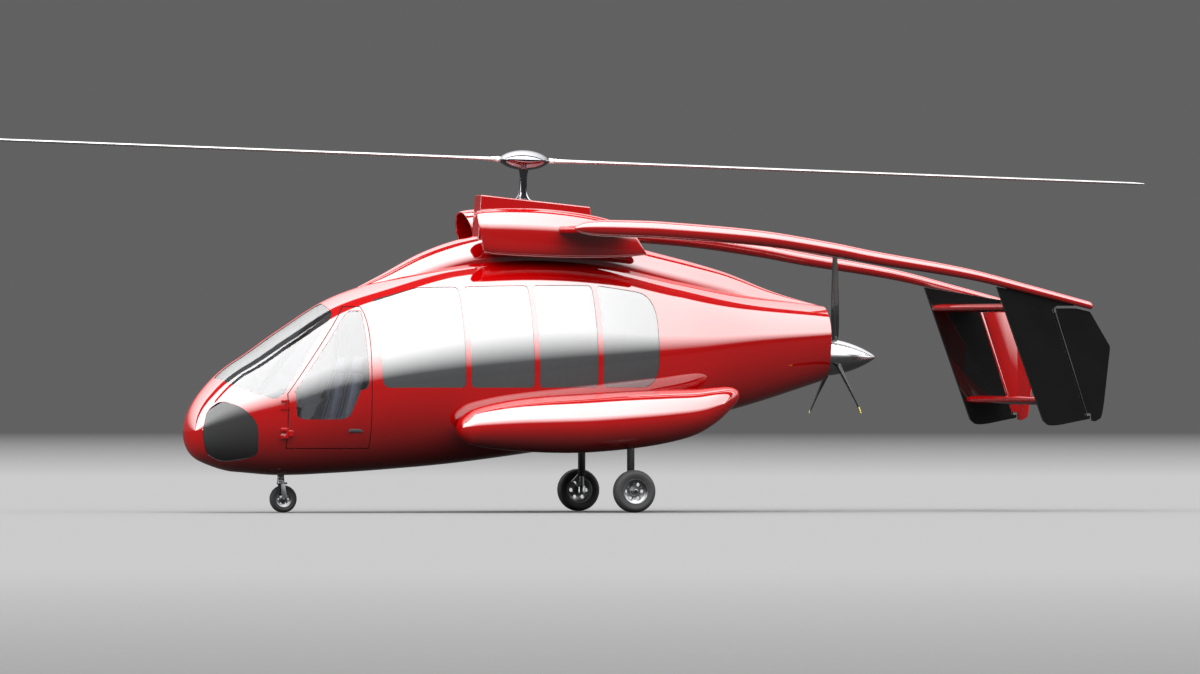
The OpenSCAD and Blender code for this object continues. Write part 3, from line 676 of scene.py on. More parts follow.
DARK_GLASS = Finish("smoked_dark_glass", Slot.GLASS, (0.12, 0.125, 0.13), (0.1, 0.105, 0.11), (0.0, 0.02),
                    ior=2.5, transmission=0.6, mottle_scale=2.0)
CHIN_GLASS = Finish("smoked_chin_glass", Slot.GLASS, (0.045, 0.046, 0.047), (0.04, 0.04, 0.041),
                    (0.12, 0.18), ior=1.6, transmission=0.35, mottle_scale=2.0)
LINING = Finish("cabin_lining", Slot.LINING, (0.42, 0.42, 0.44), (0.37, 0.37, 0.39), (0.6, 0.8),
                grain_scale=240.0, grain_depth=0.0002)
CARPET = Finish("floor_carpet", Slot.LINING, (0.07, 0.07, 0.085), (0.045, 0.045, 0.055), (0.9, 1.0),
                grain_scale=350.0, grain_depth=0.001, sheen=0.3, mottle_scale=40.0)
PANEL_BLACK = Finish("panel_black", Slot.PANEL, (0.014, 0.014, 0.015), (0.02, 0.02, 0.021), (0.5, 0.7),
                     grain_scale=600.0, grain_depth=0.00025)
SCREEN = Finish("blank_display", Slot.PANEL, (0.006, 0.008, 0.012), (0.008, 0.01, 0.014), (0.05, 0.08),
                coat=1.0)
LEATHER = Finish("seat_leather", Slot.LEATHER, (0.6, 0.6, 0.8), (0.52, 0.52, 0.7), (0.42, 0.6),
                 grain_scale=420.0, grain_depth=0.0004, mottle_scale=9.0)
WEBBING = Finish("belt_webbing", Slot.LEATHER, (0.08, 0.08, 0.1), (0.06, 0.06, 0.08), (0.7, 0.85),
                 grain_scale=900.0, grain_depth=0.0004, mottle_scale=60.0)
BATTERY_CASE = Finish("battery_case", Slot.BATTERY, (0.05, 0.055, 0.06), (0.04, 0.044, 0.048), (0.4, 0.55))
RUBBER = Finish("tyre_rubber", Slot.RUBBER, (0.018, 0.018, 0.018), (0.03, 0.029, 0.028), (0.7, 0.88),
                grain_scale=700.0, grain_depth=0.0003, mottle_scale=30.0)


def dress(obj: Piece, *finishes: Finish) -> Piece:
    """Gives an object its material slots.

    Args:
        obj: the object.
        finishes: the finishes in order of the slots.
    Returns:
        obj.
    """
    obj.data.materials.clear()
    for finish in finishes:
        obj.data.materials.append(finish.material())
    return obj


def deliver(obj: Piece, body: str, finish: Finish, nodes: Iterable[str] = (), *more: Finish) -> Piece:
    """Finishes a piece: its materials, the body it rides on and the nodes it stands for.

    Args:
        obj: the piece.
        body: name of the body.
        finish: the piece's main finish.
        nodes: construction nodes that the piece replaces.
        more: finishes of its further material slots.
    Returns:
        The piece.
    """
    dress(obj, finish, *more)
    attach(obj, body)
    names = tuple(nodes)
    if names:
        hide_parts(*names)
    log.info("%s: %d faces, on %s", obj.name, len(obj.data.polygons), body)
    return obj


# Body


@dataclass(frozen=True)
class BodyForm:
    """Outer form of the body. Columns of a station: x, bottom, waist and top heights, half width."""

    stations: Table = (
        (-4.117, 0.400, 0.950, 1.520, 0.560), (-3.850, 0.490, 1.030, 1.620, 0.575),
        (-3.500, 0.477, 1.120, 1.790, 0.640), (-3.000, 0.440, 1.230, 2.130, 0.780),
        (-2.400, 0.460, 1.390, 2.500, 0.880), (-1.700, 0.505, 1.510, 2.740, 0.935),
        (-0.900, 0.575, 1.600, 2.950, 0.960), (0.000, 0.690, 1.690, 3.030, 0.950),
        (0.900, 0.830, 1.780, 2.960, 0.890), (1.800, 1.030, 1.880, 2.760, 0.760),
        (2.700, 1.250, 1.990, 2.560, 0.570), (3.645, 1.545, 2.070, 2.424, 0.400))
    nose_round: float = 0.617
    nose_tip_z: float = 0.95
    upper_power: float = 1.85
    lower_power: float = 2.3
    cockpit_end: float = -2.02
    cabin_end: float = 1.7
    skin: float = 0.045
    pane_inset: float = 0.006
    pane: float = 0.014

    @property
    def nose_x(self) -> float:
        """Place of the nose tip."""
        return self.stations[0][0]

    @property
    def tail_x(self) -> float:
        """Place of the tail's end."""
        return self.stations[-1][0]

    def section(self, x: Array, inset: float = 0.0) -> tuple[Array, ...]:
        """Reads the body's section.

        Args:
            x: place along the body.
            inset: depth below the skin.
        Returns:
            Bottom, waist, top and half width.
        """
        share = np.clip((x - self.nose_x) / self.nose_round, 0.0, 1.0)
        f = np.sqrt(1 - (1 - share) ** 2)
        bottom, waist, top = (self.nose_tip_z + (smooth_row(self.stations, c, x) - self.nose_tip_z) * f
                              for c in (1, 2, 3))
        half = smooth_row(self.stations, 4, x) * f
        least = 0.001
        return (np.minimum(bottom + inset, waist - least), waist, np.maximum(top - inset, waist + least),
                np.maximum(half - inset, least))

    def point(self, x: Array, degrees: Array, inset: float = 0.0) -> Array:
        """Places points on the body's section.

        Args:
            x: place along the body.
            degrees: 0 for the right waist, 90 the crest, 180 the left waist.
            inset: depth below the skin.
        Returns:
            The points as rows.
        """
        bottom, waist, top, half = self.section(x, inset)
        c, s = np.cos(np.radians(degrees)), np.sin(np.radians(degrees))
        bend = 2.0 / np.where(s >= 0, self.upper_power, self.lower_power)
        reach = np.where(s >= 0, top - waist, waist - bottom)
        return np.stack([x, half * bent(c, bend), waist + reach * bent(s, bend)], 1)

    def side_y(self, x: Array, z: Array) -> Array:
        """Finds the skin's side.

        Args:
            x: place along the body.
            z: height.
        Returns:
            The half width.
        """
        bottom, waist, top, half = self.section(x)
        above = z >= waist
        power = np.where(above, self.upper_power, self.lower_power)
        share = np.where(above, (z - waist) / (top - waist), (waist - z) / (waist - bottom))
        rise = np.clip(share, 0.0, 1.0)
        return half * (1 - rise ** power) ** (1 / power)

    def top_z(self, x: Array, y: Array) -> Array:
        """Finds the skin above the waist.

        Args:
            x: place along the body.
            y: distance from the middle.
        Returns:
            The height.
        """
        _, waist, top, half = self.section(x)
        share = np.clip(np.abs(y) / half, 0.0, 1.0)
        return waist + (top - waist) * (1 - share ** self.upper_power) ** (1 / self.upper_power)

    def level(self, points: Array, inset: float = 0.0) -> Array:
        """Measures on which side of the skin points lie.

        Args:
            points: the points as rows.
            inset: depth below the skin.
        Returns:
            0 on the skin, negative inside it and positive outside.
        """
        bottom, waist, top, half = self.section(points[:, 0], inset)
        rise = points[:, 2] - waist
        power = np.where(rise >= 0, self.upper_power, self.lower_power)
        reach = np.where(rise >= 0, top - waist, waist - bottom)
        return np.abs(points[:, 1] / half) ** power + np.abs(rise / reach) ** power - 1

    def slope(self, points: Array, inset: float = 0.0) -> Array:
        """Measures how level changes at points.

        Args:
            points: the points as rows.
            inset: depth below the skin.
        Returns:
            The gradients as rows.
        """
        step = 2e-4
        rows = []
        for shift in np.eye(3) * step:
            ahead, behind = self.level(points + shift, inset), self.level(points - shift, inset)
            rows.append((ahead - behind) / (2 * step))
        return np.stack(rows, 1)


BODY = BodyForm()


def skin_sheet(name: str, span: Pair, angles: Pair, inset: float,
               depth: float) -> Piece:
    """Makes a closed wall along the body's skin.

    Args:
        name: name of the new object.
        span: first and last x.
        angles: first and last section angle in degrees.
        inset: depth of its outer face below the skin.
        depth: thickness of the wall.
    Returns:
        The new object.
    """
    pitch, turn, crowding = 0.045, 2.5, 1.7
    nose = span[0] <= BODY.nose_x

    def shape(u: Array, v: Array) -> Array:
        """Returns the points of the wall's outer face."""
        x = span[0] + (span[1] - span[0]) * (u ** crowding if nose else u)
        return BODY.point(x, angles[0] + (angles[1] - angles[0]) * v, inset)

    cells = (math.ceil((span[1] - span[0]) / pitch), math.ceil((angles[1] - angles[0]) / turn))
    obj = sheet(name, cells, shape, closed=True)
    facing = np.array([face.normal for face in obj.data.polygons])
    middles = np.array([face.center for face in obj.data.polygons])
    if np.sum(facing * BODY.slope(middles, inset)) < 0:
        obj.data.flip_normals()
    return modify(obj, "SOLIDIFY", thickness=depth, offset=-1.0, use_even_offset=True,
                  use_quality_normals=True)


def polish(obj: Piece, inset: float, depth: float) -> Piece:
    """Gives the faces on the skin their material slots and exact normals.

    Args:
        obj: a wall along the skin.
        inset: depth of its outer face below the skin.
        depth: thickness of the wall.
    Returns:
        The wall. Its outer faces have slot 0, its inner ones slot 1 and its edges slot 2.
    """
    skin_reach, lining_reach = 0.008, 0.03
    least_out, least_back = 0.7, -0.6
    nose_cap = 0.004
    shade(obj, 30)
    mesh = obj.data
    count = len(mesh.polygons)
    middles, facing = np.empty(count * 3), np.empty(count * 3)
    mesh.polygons.foreach_get("center", middles)
    mesh.polygons.foreach_get("normal", facing)
    middles, facing = middles.reshape(-1, 3), facing.reshape(-1, 3)

    def near(deep: float, limit: float) -> tuple[Array, Array]:
        """Returns which faces lie near the skin at a depth, and how far each one faces outwards."""
        slope = BODY.slope(middles, deep)
        size = np.maximum(np.linalg.norm(slope, axis=1), 1e-6)
        along = np.sum(slope * facing, 1) / size
        return np.abs(BODY.level(middles, deep)) / size < limit, along

    at_skin, out = near(inset, skin_reach)
    at_lining, back = near(inset + depth, lining_reach)
    outer, inner = at_skin & (out > least_out), at_lining & (back < least_back)
    slots = np.where(outer, 0, np.where(inner, 1, 2)).astype(np.int32)
    mesh.polygons.foreach_set("material_index", slots)
    totals = np.empty(count, dtype=np.int32)
    mesh.polygons.foreach_get("loop_total", totals)
    vertex = np.empty(len(mesh.loops), dtype=np.int32)
    mesh.loops.foreach_get("vertex_index", vertex)
    normals = np.empty(len(mesh.loops) * 3)
    mesh.corner_normals.foreach_get("vector", normals)
    normals = normals.reshape(-1, 3)
    owner = np.repeat(np.arange(count), totals)
    smooth = outer[owner] & (corners(obj)[vertex, 0] > BODY.nose_x + nose_cap)
    exact = BODY.slope(corners(obj)[vertex[smooth]], inset)
    normals[smooth] = exact / np.maximum(np.linalg.norm(exact, axis=1, keepdims=True), 1e-9)
    mesh.normals_split_custom_set(normals.tolist())
    return obj


def polish_glass(obj: Piece) -> Piece:
    """Gives a pane the exact normals of the skin and one material slot.

    Args:
        obj: the pane.
    Returns:
        obj.
    """
    polish(obj, BODY.pane_inset, BODY.pane)
    obj.data.polygons.foreach_set("material_index", np.zeros(len(obj.data.polygons), dtype=np.int32))
    return obj


@dataclass(frozen=True)
class Openings:
    """Outlines of the windows and the crew door on the left. Corners are x, height and rounding share."""

    cabin_panes: Triples = (
        (-1.95, -0.95, 2.65), (-0.885, -0.12, 2.665), (-0.055, 0.665, 2.665), (0.73, 1.43, 2.56))
    cabin_sill: float = 1.465
    cabin_front_top: float = 2.61
    strip: float = 0.045
    shield: Triples = (
        (-3.67, 1.485, 0.4), (-3.42, 1.395, 0.4), (-3.2, 1.325, 0.3), (-3.085, 1.4, 0.3),
        (-2.78, 1.87, 0.3), (-2.425, 2.325, 0.15))
    shield_ends: Pair = (-3.79, -2.49)
    chin: Triples = (
        (-3.99, 0.93, 0.35), (-3.93, 1.2, 0.35), (-3.78, 1.32, 0.35), (-3.56, 1.235, 0.35),
        (-3.39, 1.05, 0.35), (-3.36, 0.66, 0.25), (-3.73, 0.59, 0.35), (-3.93, 0.69, 0.35))
    door: tuple[Pair, ...] = (
        (-3.046, 0.76), (-3.046, 1.395), (-2.745, 1.805), (-2.36, 2.32), (-2.29, 2.41), (-1.9, 2.41),
        (-1.9, 0.76))
    door_panes: tuple[Triples, ...] = (
        ((-2.98, 1.41, 0.0), (-2.108, 1.445, 0.1), (-2.112, 2.37, 0.08), (-2.275, 2.365, 0.3),
         (-2.66, 1.85, 0.15)),
        ((-2.962, 1.45, 0.0), (-2.955, 1.095, 0.22), (-2.345, 1.095, 0.2), (-2.19, 1.48, 0.0)))
    hinge_x: float = -3.06
    hinge_heights: Pair = (0.93, 1.265)
    door_rear: float = 0.99
    gap: float = 0.009

    def on_skin(self, outline: Sequence[Point]) -> list[Triple]:
        """Returns the outline's points on the left skin."""
        return [(x, -float(BODY.side_y(np.array([x]), np.array([z]))[0]), z) for x, z in outline]

    def cabin(self, i: int) -> Piece:
        """Makes the cutter of a cabin window.

        Args:
            i: its index from the front.
        Returns:
            The cutter.
        """
        front, rear, top = self.cabin_panes[i]
        last = i == len(self.cabin_panes) - 1
        front_top = self.cabin_panes[i - 1][2] if i else self.cabin_front_top
        ahead, behind = (0.1 if i == 0 else 0.06), (0.3 if last else 0.06)
        outline = rounded(((front, self.cabin_sill, ahead), (rear, self.cabin_sill, behind),
                           (rear, top, behind), (front, front_top, ahead)))
        return prism("cabin_cutter", self.on_skin(outline), (0, 1, -0.35), (-0.3, 0.3))

    def windshield(self) -> Piece:
        """Returns the cutter of the left half of the windshield."""
        low, high = self.shield_ends
        outline = [(low, self._crest_angle(low), 0.12)]
        outline += [(x, self._side_angle(x, z), share) for x, z, share in self.shield]
        outline += [(high, self._crest_angle(high), 0.12)]
        flat = np.array(rounded(outline))
        return prism("shield_cutter", BODY.point(flat[:, 0], flat[:, 1]), (0.55, 0.5, -0.67), (-0.42, 0.42))

    def chin_window(self) -> Piece:
        """Returns the cutter of the left chin window."""
        return prism("chin_cutter", self.on_skin(rounded(self.chin)), (0.5, 1, 0.1), (-0.33, 0.33))

    def door_pane(self) -> Piece:
        """Returns the cutter of the left crew door's window."""
        parts = [prism("pane_cutter", self.on_skin(rounded(outline)), (0, 1, 0), (-0.4, 0.4))
                 for outline in self.door_panes]
        return cut(parts[0], parts[1], "UNION")

    def crew_door(self, grow: float) -> Piece:
        """Makes the left crew door's block.

        Args:
            grow: gap to grow it by.
        Returns:
            The block.
        """
        low, top = self.door[0][1], self.door[4][1]
        outline = []
        for x, z in self.door:
            ahead = 0.0 if x > self.hinge_x + self.door_rear else grow * (1.25 if z > 1.3 else 1.0)
            outline.append((x - ahead, -1.5, z + (grow if z == top else -grow if z == low else 0.0)))
        door = prism("door_cutter", outline, (0, 1, 0), (0.0, 1.38))
        x, y = self.hinge
        sweep = bar("door_sweep", (x, y, 0.0), (x, y, 3.0), self.door_rear + grow, around=256)
        return cut(door, sweep, "INTERSECT")

    def hinge_hollows(self) -> list[Piece]:
        """Returns the cutters of the hollows around the left door's hinges."""
        x, y = self.hinge
        half, radius = 0.058, 0.023
        return [bar("hinge_cutter", (x, y, z - half), (x, y, z + half), radius, 32)
                for z in self.hinge_heights]

    @property
    def hinge(self) -> Pair:
        """Place of the left door's upright hinge axis, on the skin at the waist."""
        x = np.array([self.hinge_x])
        return self.hinge_x, -float(BODY.section(x)[3][0])

    def _side_angle(self, x: float, z: float) -> float:
        """Finds the left section angle.

        Args:
            x: place along the body.
            z: height.
        Returns:
            The angle.
        """
        _, waist, top, _ = BODY.section(np.array([x]))
        share = min(1.0, float((z - waist[0]) / (top[0] - waist[0])))
        return 180 - math.degrees(math.asin(share ** (BODY.upper_power / 2)))

    def _crest_angle(self, x: float) -> float:
        """Returns the section angle of the left edge of the centre strip at x."""
        half = float(BODY.section(np.array([x]))[3][0])
        return 180 - math.degrees(math.acos((self.strip / half) ** (BODY.upper_power / 2)))


OPENINGS = Openings()


def both(cutter: Piece) -> list[Piece]:
    """Returns a left cutter and its mirror image."""
    return [cutter, mirrored(cutter, cutter.name + "_right")]


@dataclass
class BodyShell:
    """Painted shell of the body, with its windows and doors cut."""

    side_angles: Pair = (120.0, 210.0)
    hollow: float = BODY.skin

    def build(self) -> None:
        """Builds the shell's panels."""
        self.cockpit()
        self.cabin()
        for side, angles in ((Side.LEFT, (90.0, 270.0)), (Side.RIGHT, (-90.0, 90.0))):
            tail = skin_sheet(f"skin_tail_{side.word}", (BODY.cabin_end, BODY.tail_x), angles, 0.0,
                              self.hollow)
            self._deliver(tail, f"tail_{side.word}")

    def cockpit(self) -> None:
        """Builds the nose and cockpit with its openings."""
        shell = skin_sheet("skin_cockpit", (BODY.nose_x, BODY.cockpit_end), (-90.0, 270.0), 0.0,
                           self.hollow)
        for left in (OPENINGS.windshield(), OPENINGS.chin_window(), OPENINGS.crew_door(OPENINGS.gap),
                     *OPENINGS.hinge_hollows()):
            for cutter in both(left):
                cut(shell, cutter)
        self._deliver(shell, "cockpit_shell")

    def cabin(self) -> None:
        """Builds the cabin's sides, roof and belly."""
        span = (BODY.cockpit_end, BODY.cabin_end)
        left = skin_sheet("skin_cabin_left", span, self.side_angles, 0.0, self.hollow)
        for i in range(len(OPENINGS.cabin_panes)):
            cut(left, OPENINGS.cabin(i))
        right = mirrored(left, "skin_cabin_right")
        self._deliver(left, "cabin_side_left")
        self._deliver(right, "cabin_side_right")
        self._deliver(skin_sheet("skin_roof", span, (60.0, 120.0), 0.0, self.hollow), "roof_shell")
        self._deliver(skin_sheet("skin_belly", span, (210.0, 330.0), 0.0, self.hollow),
                      *(f"belly_{end}_{side.word}" for end in ("front", "rear") for side in Side))

    def _deliver(self, shell: Piece, *nodes: str) -> None:
        """Paints a panel outside, lines it inside and lets it stand for its nodes."""
        deliver(shell, AIRFRAME, RED_PAINT, nodes, LINING, PANEL_BLACK)
        polish(shell, 0.0, self.hollow)


@dataclass
class Glazing:
    """Panes of the windshield, the chin and the cabin."""

    shrink: float = 0.996

    def build(self) -> None:
        """Builds the fixed panes."""
        nose = (BODY.nose_x, BODY.cockpit_end)
        shield = self.pane("pane_windshield_left", nose, (88.0, 200.0), OPENINGS.windshield())
        chin = self.pane("pane_chin_left", nose, (150.0, 240.0), OPENINGS.chin_window())
        self.pair(shield, "windshield", CLEAR_GLASS)
        self.pair(chin, "chin_windows", CHIN_GLASS)
        span = (BODY.cockpit_end, BODY.cabin_end)
        panes = [self.pane(f"pane_cabin_{i}", span, (115.0, 212.0), OPENINGS.cabin(i))
                 for i in range(len(OPENINGS.cabin_panes))]
        self.pair(join(panes, "pane_cabin_left"), "cabin_windows", DARK_GLASS)

    def pane(self, name: str, span: Pair, angles: Pair,
             cutter: Piece) -> Piece:
        """Cuts a pane from a glass layer.

        Args:
            name: name of the new object.
            span: ends of the layer.
            angles: section angles of its edges.
            cutter: keeps what it covers.
        Returns:
            The pane.
        """
        layer = skin_sheet(name, span, angles, BODY.pane_inset, BODY.pane)
        middle = Vector(np.mean(corners(cutter), axis=0))
        scale = Matrix.Diagonal((self.shrink, self.shrink, self.shrink, 1.0))
        cutter.data.transform(Matrix.Translation(middle) @ scale @ Matrix.Translation(-middle))
        return cut(layer, cutter, "INTERSECT")

    def pair(self, left: Piece, node: str, finish: Finish) -> None:
        """Delivers a left pane and its mirror image as one piece.

        Args:
            left: the pane.
            node: node that the piece stands for.
            finish: its finish.
        """
        glass = join([left, mirrored(left, left.name + "_twin")], "glass_" + node)
        deliver(glass, AIRFRAME, finish, [node])
        polish_glass(glass)


@dataclass
class CrewDoors:
    """Front doors with their windows and handles, cut around their hinges."""

    span: Pair = (-3.1, -2.0)
    angles: Pair = (100.0, 250.0)
    handle_at: Triple = (-2.25, 0.0, 0.97)

    def build(self) -> None:
        """Builds both doors."""
        left = skin_sheet("skin_door_left", self.span, self.angles, 0.0, BODY.skin)
        cut(left, OPENINGS.crew_door(0.0), "INTERSECT")
        for cutter in (OPENINGS.door_pane(), *OPENINGS.hinge_hollows()):
            cut(left, cutter)
        pane = Glazing().pane("glass_door_left", self.span, self.angles, OPENINGS.door_pane())
        handle = self.handle()
        doors = []
        for side in Side:
            body = f"crew_door_{side.word}"
            door, glass, grip = (
                part if side is Side.LEFT else mirrored(part, part.name.replace("left", "right"))
                for part in (left, pane, handle))
            deliver(door, body, RED_PAINT, [f"door_{side.word}"], LINING, PANEL_BLACK)
            deliver(glass, body, CLEAR_GLASS, [f"door_{side.word}_window"])
            deliver(grip, body, PANEL_BLACK)
            doors.append((door, glass))
        for door, glass in doors:
            polish(door, 0.0, BODY.skin)
            polish_glass(glass)

    def handle(self) -> Piece:
        """Returns the left door's flush handle: a lever in a shallow dish."""
        x, _, z = self.handle_at
        y = -float(BODY.side_y(np.array([x]), np.array([z]))[0])
        dish = block("door_dish", (x - 0.085, y - 0.002, z - 0.028),
                     (x + 0.085, y + 0.02, z + 0.028), 0.008)
        lever = block("door_lever", (x - 0.07, y - 0.007, z - 0.012),
                      (x + 0.06, y + 0.004, z + 0.014), 0.006)
        return shade(join([dish, lever], "door_handle_left"))


# Top of the body


@dataclass
class SpineFairing:
    """Ridge along the roof. Columns: x, crest height, half width."""

    rows: Triples = (
        (-2.15, 2.58, 0.06), (-1.75, 2.785, 0.17), (-1.27, 3.04, 0.23), (-0.8, 3.205, 0.26),
        (-0.3, 3.29, 0.27), (0.3, 3.3, 0.27), (0.9, 3.23, 0.26), (1.57, 3.06, 0.23), (2.02, 2.945, 0.2),
        (2.42, 2.83, 0.16), (2.65, 2.745, 0.14), (2.92, 2.635, 0.115), (3.2, 2.54, 0.085),
        (3.58, 2.436, 0.04))
    depth: float = 0.62
    tuck: float = 0.014

    def build(self) -> None:
        """Builds the fairing and lets it stand for its node."""
        x0, x1 = self.rows[0][0], self.rows[-1][0]

        def shape(u: Array, v: Array) -> Array:
            """Returns the points of the fairing."""
            x = x0 + (x1 - x0) * u
            crest, half = smooth_row(self.rows, 1, x), smooth_row(self.rows, 2, x)
            turn = np.radians(-25 + 230 * v)
            y = half * np.cos(turn)
            z = crest - self.depth / 2 + self.depth / 2 * np.sin(turn)
            return np.stack([x, y, np.maximum(z, BODY.top_z(x, y) - self.tuck)], 1)

        fairing = sheet("spine_ridge", (130, 72), shape)
        if fairing.data.polygons[len(fairing.data.polygons) // 2].normal.z < 0:
            fairing.data.flip_normals()
        modify(fairing, "SOLIDIFY", thickness=0.012, offset=-1.0)
        deliver(shade(fairing, 40), AIRFRAME, RED_PAINT, ["spine_fairing"])


@dataclass
class AirNacelles:
    """Air ducts on both sides of the pylon. Columns: share of the length, half width, half height."""

    rows: Triples = (
        (0.0, 0.185, 0.245), (0.06, 0.205, 0.268), (0.24, 0.225, 0.287), (0.5, 0.227, 0.288),
        (0.8, 0.203, 0.247), (1.0, 0.165, 0.18))
    span: Pair = (-0.73, 1.36)
    centre_y: float = 0.385
    centre_z: float = 3.29
    drop: float = 0.09
    wall: float = 0.026
    skirt_power: float = 6.0
    lip: float = 0.009
    scarf: float = 0.268
    front_lean: float = 0.1
    rear_lean: float = 0.22

    def side_y(self, x: Array, z: Array) -> Array:
        """Finds a nacelle's outer side.

        Args:
            x: place along the body.
            z: height.
        Returns:
            Its distance from the middle plane.
        """
        u = np.clip((x - self.span[0]) / (self.span[1] - self.span[0]), 0.0, 1.0)
        rise = np.clip((z - self.centre_z + self.drop * u ** 2) / smooth_row(self.rows, 2, u), -1.0, 1.0)
        power = np.where(rise < 0, self.skirt_power, 2.0)
        return self.centre_y + smooth_row(self.rows, 1, u) * (1 - np.abs(rise) ** power) ** (1 / power)

    def build(self) -> None:
        """Builds both nacelles as one piece."""

        def shape(u: Array, v: Array) -> Array:
            """Returns the points of the left nacelle's skin."""
            c, s = np.cos(v * math.tau), np.sin(v * math.tau)
            wide, high = smooth_row(self.rows, 1, u), smooth_row(self.rows, 2, u)
            bend = 2 / np.where((c < 0) & (s < 0), self.skirt_power, 2.0)
            across, rise = bent(c, bend), bent(s, bend)
            front = self.span[0] + self.scarf * wide * (1 + across) + self.front_lean * (1 - rise) / 2
            rear = self.span[1] - self.rear_lean * (1 + rise) / 2
            return np.stack([front + (rear - front) * u, wide * across - self.centre_y,
                             self.centre_z - self.drop * u ** 2 + high * rise], 1)

        duct = sheet("air_nacelle", (60, 72), shape, closed=True)
        if sum(face.normal.z for face in duct.data.polygons if face.center.z > self.centre_z) < 0:
            duct.data.flip_normals()
        modify(duct, "SOLIDIFY", thickness=self.wall, offset=-1.0)
        soften(duct, self.lip)
        shade(duct, 40)
        pair = join([duct, mirrored(duct, "air_nacelle_right")], "air_nacelles")
        deliver(pair, AIRFRAME, RED_PAINT, ["nacelles"])


@dataclass
class RotorPylon:
    """Flat-sided pylon that carries the mast."""

    span: Pair = (-0.56, 0.77)
    foot: float = 3.15
    front_top: float = 3.73
    rear_top: float = 3.59
    spread: float = 0.04
    width: float = 0.3

    def build(self) -> None:
        """Builds the pylon."""
        front, rear, side = *self.span, -self.width / 2
        outline = [(front - self.spread, side, self.foot), (rear + self.spread, side, self.foot),
                   (rear, side, self.rear_top), (front, side, self.front_top)]
        plate = prism("pylon_plate", outline, (0, 1, 0), (0.0, self.width), bevel=0.014)
        deliver(crisp(plate, 30), AIRFRAME, RED_PAINT, ["rotor_pylon"])


